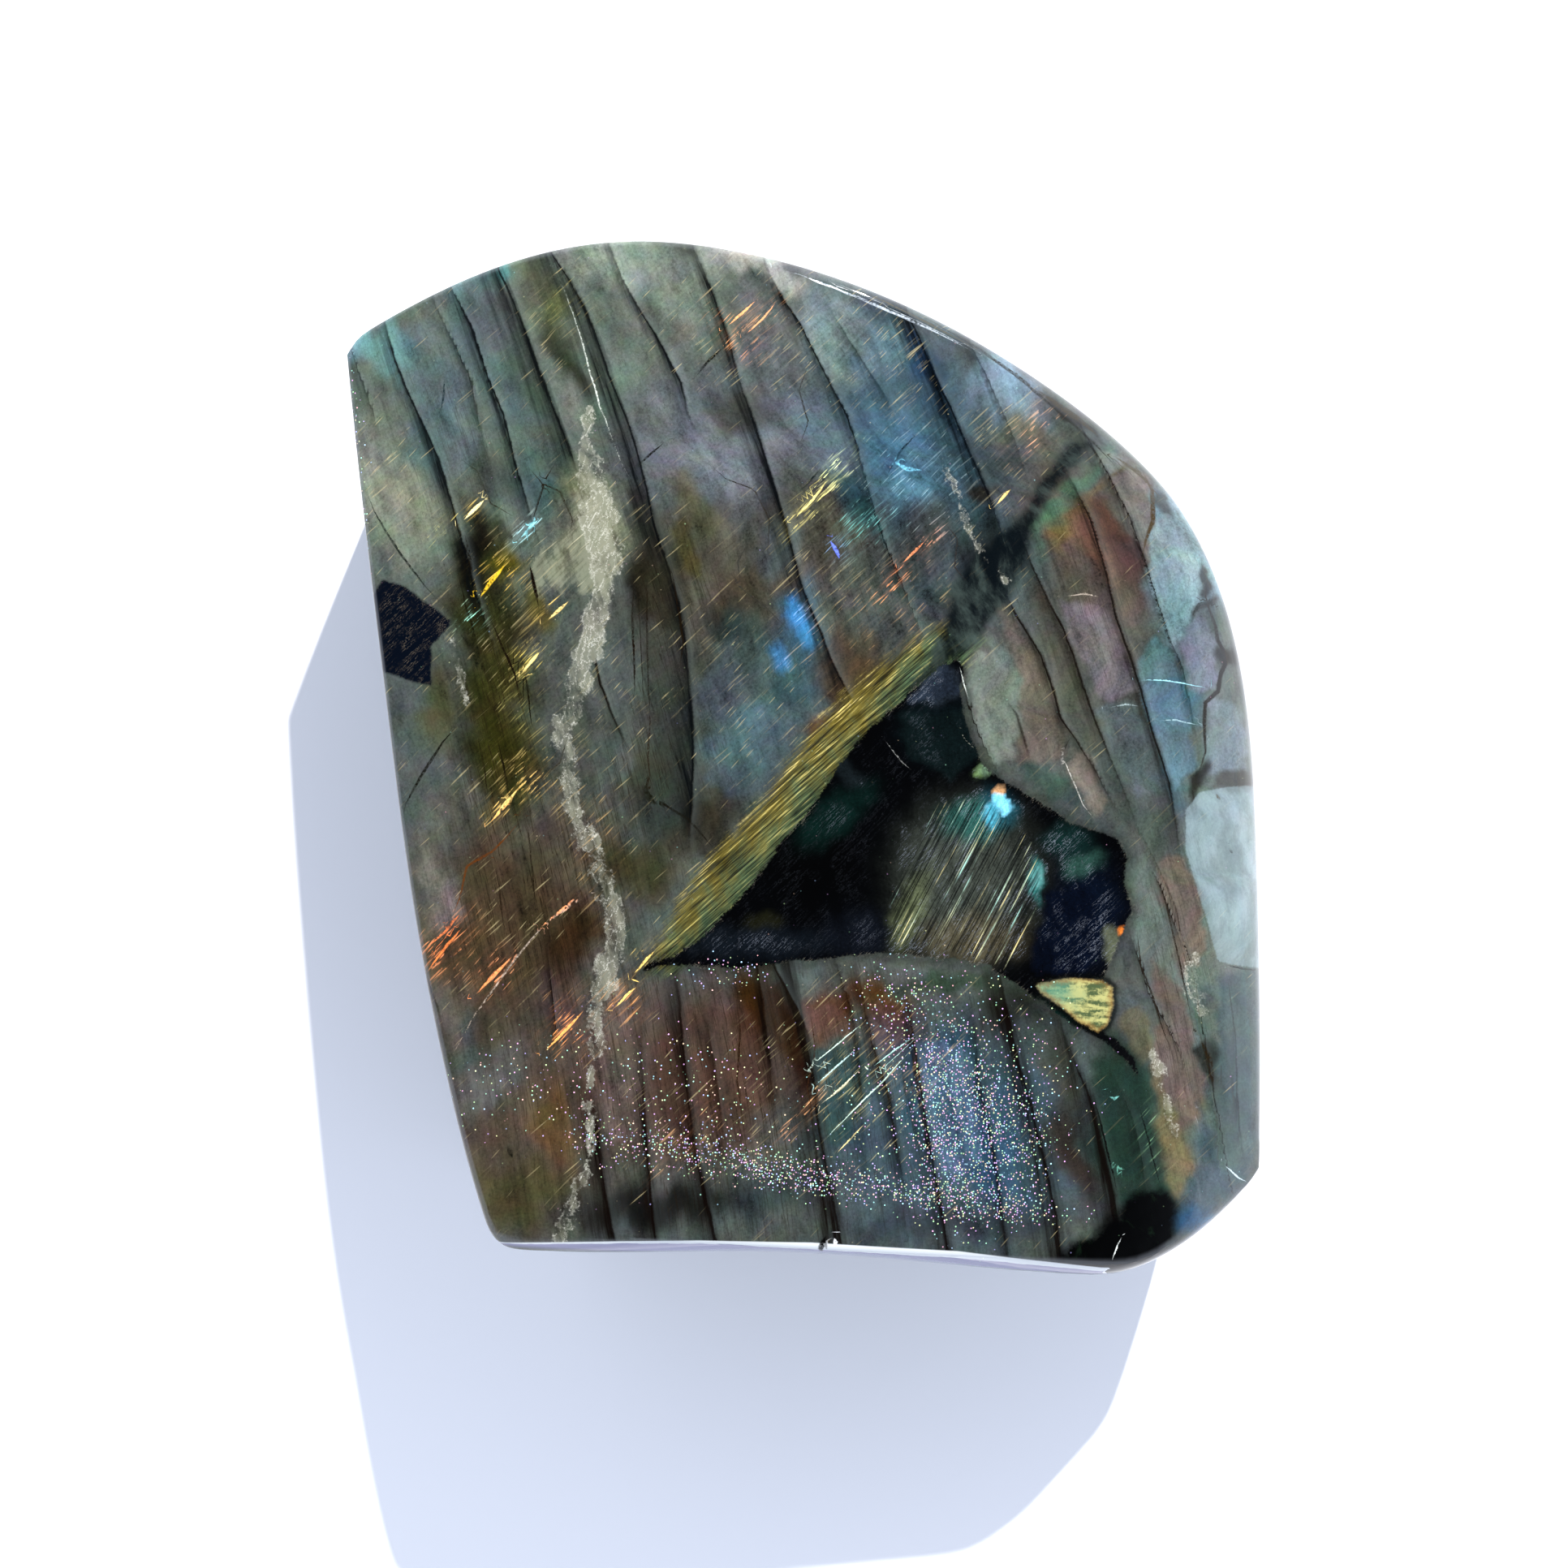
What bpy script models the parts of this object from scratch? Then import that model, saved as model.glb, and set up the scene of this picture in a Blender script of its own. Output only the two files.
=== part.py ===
"""A polished, free-standing piece of labradorite, lying on its back.

The stone is one solid: a slab with a flat back, a straight flat base that it
can stand on, a gently domed front face and a tight rolled edge that opens into
a broad shoulder down the right side. Metres, +Z up, origin under the middle of
the stone on the surface that it lies on.
"""

import math

import bmesh
import bpy
import numpy
from mathutils import Vector
from mathutils.geometry import interpolate_bezier

STONE_NAME = "labradorite_stone"

# The plan outline, seen from the front face. The base is the straight edge at the bottom.
BASE_Y = -0.0557
BASE_LEFT = (-0.0272, BASE_Y)
BASE_MIDDLE = (0.0040, BASE_Y)
BASE_RIGHT = (0.0356, BASE_Y)
RIGHT_KINK = (0.0542, -0.0432)
RIGHT_MIDDLE = (0.0523, -0.0060)
SHOULDER_END = (0.0396, 0.0315)
UPPER_RIGHT = (0.0180, 0.0462)
CROWN = (-0.0224, 0.0556)
LEFT_TIP_UPPER = (-0.0530, 0.0428)
LEFT_TIP_LOWER = (-0.0542, 0.0406)
LEFT_MIDDLE = (-0.0445, -0.0065)
FOOT_LEFT = (-0.0316, -0.0517)

# The rolled edge round the front face, by place: how far it comes in, how far
# the stone's widest line lies below the face there, and how flat the roll is
# (0 is round, 1 is a straight bevel).
EDGE_AT_BASE_MIDDLE = (0.0024, 0.0090, 0.75)
EDGE_AT_BASE_RIGHT = (0.0012, 0.0035, 0.50)
EDGE_AT_KINK = (0.0024, 0.0042, 0.00)
EDGE_AT_RIGHT_MIDDLE = (0.0095, 0.0085, 0.10)
EDGE_AT_SHOULDER_END = (0.0034, 0.0040, 0.05)
EDGE_AT_UPPER_RIGHT = (0.0014, 0.0020, 0.30)
EDGE_AT_CROWN = (0.0009, 0.0009, 0.10)
EDGE_AT_LEFT_TIP = (0.0006, 0.0006, 0.00)
EDGE_AT_LEFT_MIDDLE = (0.0006, 0.0008, 0.00)
EDGE_AT_FOOT_LEFT = (0.0010, 0.0012, 0.00)

# The front face: a shallow dome that leans up to the foot and the left side.
FRONT_HEIGHT = 0.0348
FRONT_SLOPE_X = -0.0526
FRONT_SLOPE_Y = -0.0563
FRONT_DOME_X = -1.44
FRONT_DOME_Y = -0.75
FRONT_TWIST = 0.10
FOOT_FLARE = 0.0018
FOOT_FLARE_STARTS_Y = -0.030

# Hand polishing leaves the face very slightly uneven.
RIPPLE_HEIGHT = 0.00012
RIPPLE_WAVES_X = 150.0
RIPPLE_WAVES_Y = 110.0

# The flat back and the walls, which fill out on their way up except at the base.
BACK_ROUND = 0.0040
WALL_TAPER = 0.0016
TAPER_STARTS_ABOVE_BASE = 0.012

SIDE_PIECES = 36
ROLL_STEPS = 5
WALL_STEPS = 3
BACK_STEPS = 4
EVENING_ROUNDS = 30
MIDDLE = (0.000, -0.002)

STONE_COLOUR = (0.19, 0.23, 0.22, 1.0)
STONE_ROUGHNESS = 0.12


def clear_scene():
    for obj in list(bpy.data.objects):
        bpy.data.objects.remove(obj)


def smooth(value):
    """0 below 0, 1 above 1, and an even S between."""
    value = min(max(value, 0.0), 1.0)
    return value * value * (3.0 - 2.0 * value)


def stretches():
    """The outline's stretches, anticlockwise from the foot's left corner, in four sides
    of SIDE_PIECES pieces each: start, its handle, the end's handle, end, how many
    pieces it is cut into, and the edges at both ends."""
    return (
        (FOOT_LEFT, (-0.0305, -0.0546), (-0.0296, BASE_Y), BASE_LEFT, 5,
         EDGE_AT_FOOT_LEFT, EDGE_AT_FOOT_LEFT),
        (BASE_LEFT, None, None, BASE_MIDDLE, 12, EDGE_AT_FOOT_LEFT, EDGE_AT_BASE_MIDDLE),
        (BASE_MIDDLE, None, None, BASE_RIGHT, 9, EDGE_AT_BASE_MIDDLE, EDGE_AT_BASE_RIGHT),
        (BASE_RIGHT, (0.0425, BASE_Y), (0.0525, -0.0470), RIGHT_KINK, 10,
         EDGE_AT_BASE_RIGHT, EDGE_AT_KINK),

        (RIGHT_KINK, (0.0540, -0.0340), (0.0535, -0.0180), RIGHT_MIDDLE, 17,
         EDGE_AT_KINK, EDGE_AT_RIGHT_MIDDLE),
        (RIGHT_MIDDLE, (0.0511, 0.0060), (0.0484, 0.0211), SHOULDER_END, 19,
         EDGE_AT_RIGHT_MIDDLE, EDGE_AT_SHOULDER_END),

        (SHOULDER_END, (0.0345, 0.0371), (0.0267, 0.0418), UPPER_RIGHT, 10,
         EDGE_AT_SHOULDER_END, EDGE_AT_UPPER_RIGHT),
        (UPPER_RIGHT, (0.0046, 0.0530), (-0.0110, 0.0563), CROWN, 14,
         EDGE_AT_UPPER_RIGHT, EDGE_AT_CROWN),
        (CROWN, (-0.0338, 0.0549), (-0.0440, 0.0492), LEFT_TIP_UPPER, 12,
         EDGE_AT_CROWN, EDGE_AT_LEFT_TIP),

        (LEFT_TIP_UPPER, None, None, LEFT_TIP_LOWER, 2, EDGE_AT_LEFT_TIP, EDGE_AT_LEFT_TIP),
        (LEFT_TIP_LOWER, (-0.0510, 0.0240), (-0.0478, 0.0095), LEFT_MIDDLE, 17,
         EDGE_AT_LEFT_TIP, EDGE_AT_LEFT_MIDDLE),
        (LEFT_MIDDLE, (-0.0410, -0.0234), (-0.0375, -0.0371), FOOT_LEFT, 17,
         EDGE_AT_LEFT_MIDDLE, EDGE_AT_FOOT_LEFT),
    )


def outline():
    """Points round the widest line, each with its edge values."""
    points = []
    for start, handle, end_handle, end, pieces, edge, next_edge in stretches():
        if handle is None:
            run = [Vector(start).lerp(Vector(end), i / pieces) for i in range(pieces + 1)]
        else:
            run = interpolate_bezier(start, handle, end_handle, end, pieces + 1)
        for i, point in enumerate(run[:-1]):
            share = smooth(i / pieces)
            values = [a + (b - a) * share for a, b in zip(edge, next_edge)]
            points.append((Vector(point[:2]), values))
    return points


def outward_normals(places):
    """The direction out of the stone at each outline point."""
    normals = []
    for i, here in enumerate(places):
        before = (here - places[i - 1]).normalized()
        after = (places[(i + 1) % len(places)] - here).normalized()
        along = (before + after).normalized()
        normals.append(Vector((along.y, -along.x)))
    return normals


def drawn_in(places, normals, insets):
    """The outline moved in by an amount of its own at each point, with clean corners."""
    middle = Vector(MIDDLE)
    reaches = [(p - middle).dot(n) - inset for p, n, inset in zip(places, normals, insets)]
    ring = []
    for place in places:
        ray = (place - middle).normalized()
        facing = [(reach, ray.dot(n)) for reach, n in zip(reaches, normals)]
        ring.append(middle + ray * min(reach / f for reach, f in facing if f > 0.05))
    return ring


def front_height(x, y):
    """Height of the front face, with no rolled edge."""
    flare_run = FOOT_FLARE_STARTS_Y - BASE_Y
    flare = FOOT_FLARE * smooth((FOOT_FLARE_STARTS_Y - y) / flare_run)
    ripple = RIPPLE_HEIGHT * math.sin(RIPPLE_WAVES_X * x + 1.0) * math.cos(RIPPLE_WAVES_Y * y)
    slope = FRONT_SLOPE_X * x + FRONT_SLOPE_Y * y
    dome = FRONT_DOME_X * x * x + FRONT_DOME_Y * y * y + FRONT_TWIST * x * y
    return FRONT_HEIGHT + slope + dome + flare + ripple


def stone_rings():
    """Rings of points from the back, up the wall and over the edge to the front face."""
    around = outline()
    places = [point for point, _ in around]
    normals = outward_normals(places)
    edges = [edge for _, edge in around]
    tapers = [WALL_TAPER * smooth((p.y - BASE_Y) / TAPER_STARTS_ABOVE_BASE) for p in places]
    inner = drawn_in(places, normals, [edge[0] for edge in edges])
    tops = [front_height(p.x, p.y) for p in inner]
    rims = [top - edge[1] for top, edge in zip(tops, edges)]
    rings = []

    # The round between the flat back and the wall.
    for step in range(BACK_STEPS + 1):
        angle = math.pi / 2 * step / BACK_STEPS
        round_in = BACK_ROUND * (1.0 - math.sin(angle))
        height = BACK_ROUND * (1.0 - math.cos(angle))
        ring = drawn_in(places, normals, [taper + round_in for taper in tapers])
        rings.append([Vector((p.x, p.y, height)) for p in ring])

    # The wall, up to the widest line.
    for step in range(1, WALL_STEPS + 1):
        share = step / WALL_STEPS
        left = 1.0 - math.sin(math.pi / 2 * share)
        ring = drawn_in(places, normals, [taper * left for taper in tapers])
        heights = [BACK_ROUND + (rim - BACK_ROUND) * share for rim in rims]
        rings.append([Vector((p.x, p.y, height)) for p, height in zip(ring, heights)])

    # The rolled edge, from the widest line to the front face.
    for step in range(1, ROLL_STEPS + 1):
        angle = math.pi / 2 * step / ROLL_STEPS
        ring = []
        for place, end, rim, top, edge in zip(places, inner, rims, tops, edges):
            straight = step / ROLL_STEPS
            across = (1.0 - math.cos(angle)) * (1.0 - edge[2]) + straight * edge[2]
            up = math.sin(angle) * (1.0 - edge[2]) + straight * edge[2]
            at = place.lerp(end, across)
            ring.append(Vector((at.x, at.y, rim + (top - rim) * up)))
        rings.append(ring)

    return rings


def net_inside(ring):
    """A square net of places that spans a ring of four sides, spread evenly."""
    n = SIDE_PIECES
    edge = numpy.array([(p.x, p.y) for p in ring])
    foot, right = edge[0:n + 1], edge[n:2 * n + 1]
    top = edge[2 * n:3 * n + 1][::-1]
    left = numpy.vstack((edge[3 * n:], edge[:1]))[::-1]
    u = numpy.linspace(0.0, 1.0, n + 1)[None, :, None]
    v = numpy.linspace(0.0, 1.0, n + 1)[:, None, None]
    across = (1 - v) * foot[None] + v * top[None]
    along = (1 - u) * left[:, None] + u * right[:, None]
    corners = (1 - v) * ((1 - u) * foot[0] + u * foot[-1]) + v * ((1 - u) * top[0] + u * top[-1])
    net = across + along - corners
    for _ in range(EVENING_ROUNDS):
        around = net[:-2, 1:-1] + net[2:, 1:-1] + net[1:-1, :-2] + net[1:-1, 2:]
        net[1:-1, 1:-1] = around / 4
    return net


def span(mesh, ring, height):
    """Fills a ring of mesh points with a net of faces at the given height."""
    n = SIDE_PIECES
    net = net_inside([vert.co for vert in ring])
    grid = [[None] * (n + 1) for _ in range(n + 1)]
    for i in range(n + 1):
        grid[0][i] = ring[i]
        grid[i][n] = ring[n + i]
        grid[n][n - i] = ring[2 * n + i]
        grid[n - i][0] = ring[(3 * n + i) % (4 * n)]
    for row in range(1, n):
        for column in range(1, n):
            x, y = net[row, column]
            grid[row][column] = mesh.verts.new((x, y, height(x, y)))
    for row in range(n):
        for column in range(n):
            near, far = grid[row], grid[row + 1]
            mesh.faces.new((near[column], near[column + 1], far[column + 1], far[column]))


def stone_mesh():
    mesh = bmesh.new()
    rings = [[mesh.verts.new(point) for point in ring] for ring in stone_rings()]
    count = len(rings[0])
    for lower, upper in zip(rings, rings[1:]):
        for i in range(count):
            j = (i + 1) % count
            mesh.faces.new((lower[i], lower[j], upper[j], upper[i]))
    span(mesh, rings[0], lambda x, y: 0.0)
    span(mesh, rings[-1], front_height)
    bmesh.ops.recalc_face_normals(mesh, faces=mesh.faces)
    data = bpy.data.meshes.new(STONE_NAME)
    mesh.to_mesh(data)
    mesh.free()
    return data


def stone_material():
    material = bpy.data.materials.new("polished_labradorite")
    material.use_nodes = True
    shader = material.node_tree.nodes["Principled BSDF"]
    shader.inputs["Base Color"].default_value = STONE_COLOUR
    shader.inputs["Roughness"].default_value = STONE_ROUGHNESS
    shader.inputs["Metallic"].default_value = 0.0
    return material


def make_stone():
    data = stone_mesh()
    data.shade_smooth()
    data.set_sharp_from_angle(angle=math.radians(40))
    data.materials.append(stone_material())
    stone = bpy.data.objects.new(STONE_NAME, data)
    bpy.context.scene.collection.objects.link(stone)
    return stone


clear_scene()
make_stone()
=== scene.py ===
import math
import bpy
import numpy as np
from mathutils import Euler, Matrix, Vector


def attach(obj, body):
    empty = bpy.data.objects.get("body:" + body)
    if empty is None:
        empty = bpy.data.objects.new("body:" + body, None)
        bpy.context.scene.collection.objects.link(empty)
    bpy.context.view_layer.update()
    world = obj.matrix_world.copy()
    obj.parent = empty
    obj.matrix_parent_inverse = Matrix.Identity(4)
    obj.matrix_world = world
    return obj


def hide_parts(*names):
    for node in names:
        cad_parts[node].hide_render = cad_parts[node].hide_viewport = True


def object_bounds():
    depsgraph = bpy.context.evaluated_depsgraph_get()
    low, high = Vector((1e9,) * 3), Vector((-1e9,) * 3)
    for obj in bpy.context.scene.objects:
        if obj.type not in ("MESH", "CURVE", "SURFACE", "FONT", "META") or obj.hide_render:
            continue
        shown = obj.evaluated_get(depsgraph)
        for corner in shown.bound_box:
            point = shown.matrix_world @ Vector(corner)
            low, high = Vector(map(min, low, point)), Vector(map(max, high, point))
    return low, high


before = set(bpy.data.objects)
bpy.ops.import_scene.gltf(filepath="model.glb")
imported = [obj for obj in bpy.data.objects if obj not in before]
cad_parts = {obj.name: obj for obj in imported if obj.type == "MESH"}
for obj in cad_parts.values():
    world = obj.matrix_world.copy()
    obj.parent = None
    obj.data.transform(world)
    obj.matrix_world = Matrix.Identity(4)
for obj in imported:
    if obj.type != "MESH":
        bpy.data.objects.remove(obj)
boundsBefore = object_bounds()
print("frame loaded")

# the stone: what a user may want to change
stone = {
    "node": "labradorite_stone",
    "slot": "polished_labradorite",
    "refine": 1,               # subdivision levels of the whole mesh
    "faceCuts": 2,             # further cuts of the faces that look up
    "faceUp": 0.6,             # how far a face has to look up for them
    "sharpEdge": 26.0,         # degrees, from which an edge stays crisp
    "crispness": 0.8,          # how crisp such an edge stays
    "dip": 0.3,                # mm that the fractures move sideways per mm of depth
    "faceHeight": 34.0,        # mm, the height that the pattern is laid out at
    "body": 0.370,             # how light the stone's body is
    "richness": 1.18,          # how strong the colours of the body are
    "warmth": 0.34,            # how much warm and cool tones vary inside a plate
    "polish": 0.035,           # roughness of the clear polish
    "needleAngle": 49.0,       # degrees, the way the bright needles run
    "bandAngle": 46.0,         # degrees, the way the gold band runs
    "rayAngle": 67.0,          # degrees, the way the rays in the dark wedge run
    "plateShift": 2.2,         # mm, how far the plates are shifted against each other
    "crackWidth": 0.08,        # mm, half of a fracture's line
    "crackDark": 0.95,         # how dark the fractures are
    "veinShows": 0.68,         # how much the pale veins cover
    # the next three set the painted glints: tiny bright dots that stand in for sparkles of light on the
    # polish
    "paintedGlint": 1.0,            # how bright the glitter is
    "paintedGlintColour": 0.5,      # how colourful the glitter is
    "paintedGlintCells": 4.2,       # glitter cells per mm
    "seed": 11,                # for how far each plate is shifted
}

# strip along the base, partly pale sawn stone and partly painted reflections: a pale painted reflection of
# the bright table and, nearer the base's front, a lavender-grey painted reflection of the shaded table; its
# width in mm at some x, and that of its pale front line
sawnStrip = {
    "wideAt": (-31, -20, -8, 4, 20, 36),
    "wide": (0.7, 1.6, 2.6, 3.1, 2.9, 1.6),
    "paleAt": (-31, -4, 2, 20, 36),
    "pale": (0.1, 0.4, 0.75, 0.85, 0.5),
    "end": 37.0,               # x at the strip's right end
    "flatFrom": 0.8,           # mm behind the front where the flat base turns to plain stone
}

# colours of what lies inside the stone
inks = {
    "plain ground": (98, 106, 100),
    "faint line": (24, 20, 14),
    "thread": (26, 20, 12),
    "crack rim": (160, 176, 172),
    "needle": (208, 190, 140),
    "slab dark": (122, 140, 142),
    "slab light": (150, 172, 178),
    "block dark": (70, 72, 56),
    "block light": (122, 124, 104),
    "block lace": (190, 186, 160),
    "band gold": (106, 94, 40),
    "band green": (78, 100, 70),
    "band needle": (238, 214, 128),
    "diagonal dark": (10, 15, 18),
    "diagonal light": (58, 68, 64),
    "wedge": (3, 4, 6),
    "wedge scratch": (120, 126, 136),
    "wedge shade": (18, 20, 14),
    "wedge rim": (96, 92, 80),
    "ray gold": (222, 204, 140),
    "ray green": (150, 196, 180),
    "ray gap": (8, 12, 12),
    "shell dark": (66, 78, 52),
    "shell light": (158, 156, 100),
    "shell teal": (70, 120, 100),
    "shell rim": (122, 80, 36),
    "shell gap": (8, 9, 8),
    "patch dark": (9, 14, 22),
    "patch scratch": (110, 100, 84),
    "corner dark": (2, 3, 3),
    "corner green": (22, 34, 24),
    "vein dark": (124, 124, 108),
    "vein light": (204, 202, 188),
    "plain base": (92, 96, 92),
    # the strip along the base: pale sawn stone with a painted reflection of the bright table, then a painted
    # reflection of the shaded table
    "sawn strip painted reflection": (184, 188, 190),
    "sawn strip painted shadow reflection": (124, 122, 144),
}

# the grain that breaks up the colours: waves per mm, detail and roughness of each noise
grains = {
    "wobble": (0.5, 3.0, 0.5),             # wavy edges
    "fine": (3.6, 3.0, 0.65),              # grit
    "mottle": (0.28, 7.0, 0.66),           # cloudy patches
    "brush": (1.0, 3.0, 0.6),              # strokes along the needles
    "streaks": (1.0, 4.0, 0.62),           # streaks along the fractures
    "threads": (1.0, 2.0, 0.5),            # thin dark threads along the fractures
    "warmth": (0.33, 4.0, 0.6),            # warm and cool tones
    "band": (1.0, 3.0, 0.6),               # fibres of the gold band
    "rays": (1.0, 1.5, 0.5),               # rays in the dark wedge
    "rayTone": (1.0, 1.0, 0.5),            # where the rays are gold and where green
    "shell": (1.0, 3.0, 0.5),              # grain of the shell piece
}

# bright needles: length and width in mm of the cell that holds each one
needleSizes = {
    "long": (5.6, 0.28),
    "middle": (3.4, 0.21),
    "short": (2.0, 0.17),
}

# how each family of fractures is drawn: how soon its shade ends on the right, how dark
# the shade is, how light the rim on the right is, and the line's colour
crackLooks = {
    "upperCracks": (6.0, 0.92, 0.10, (7, 10, 12)),
    "rightCracks": (3.0, 0.75, 0.10, (16, 12, 8)),
    "footCracks": (2.2, 1.0, 0.06, (14, 8, 4)),
    "lowRightCracks": (3.0, 0.65, 0.08, (20, 16, 12)),
}

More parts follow.
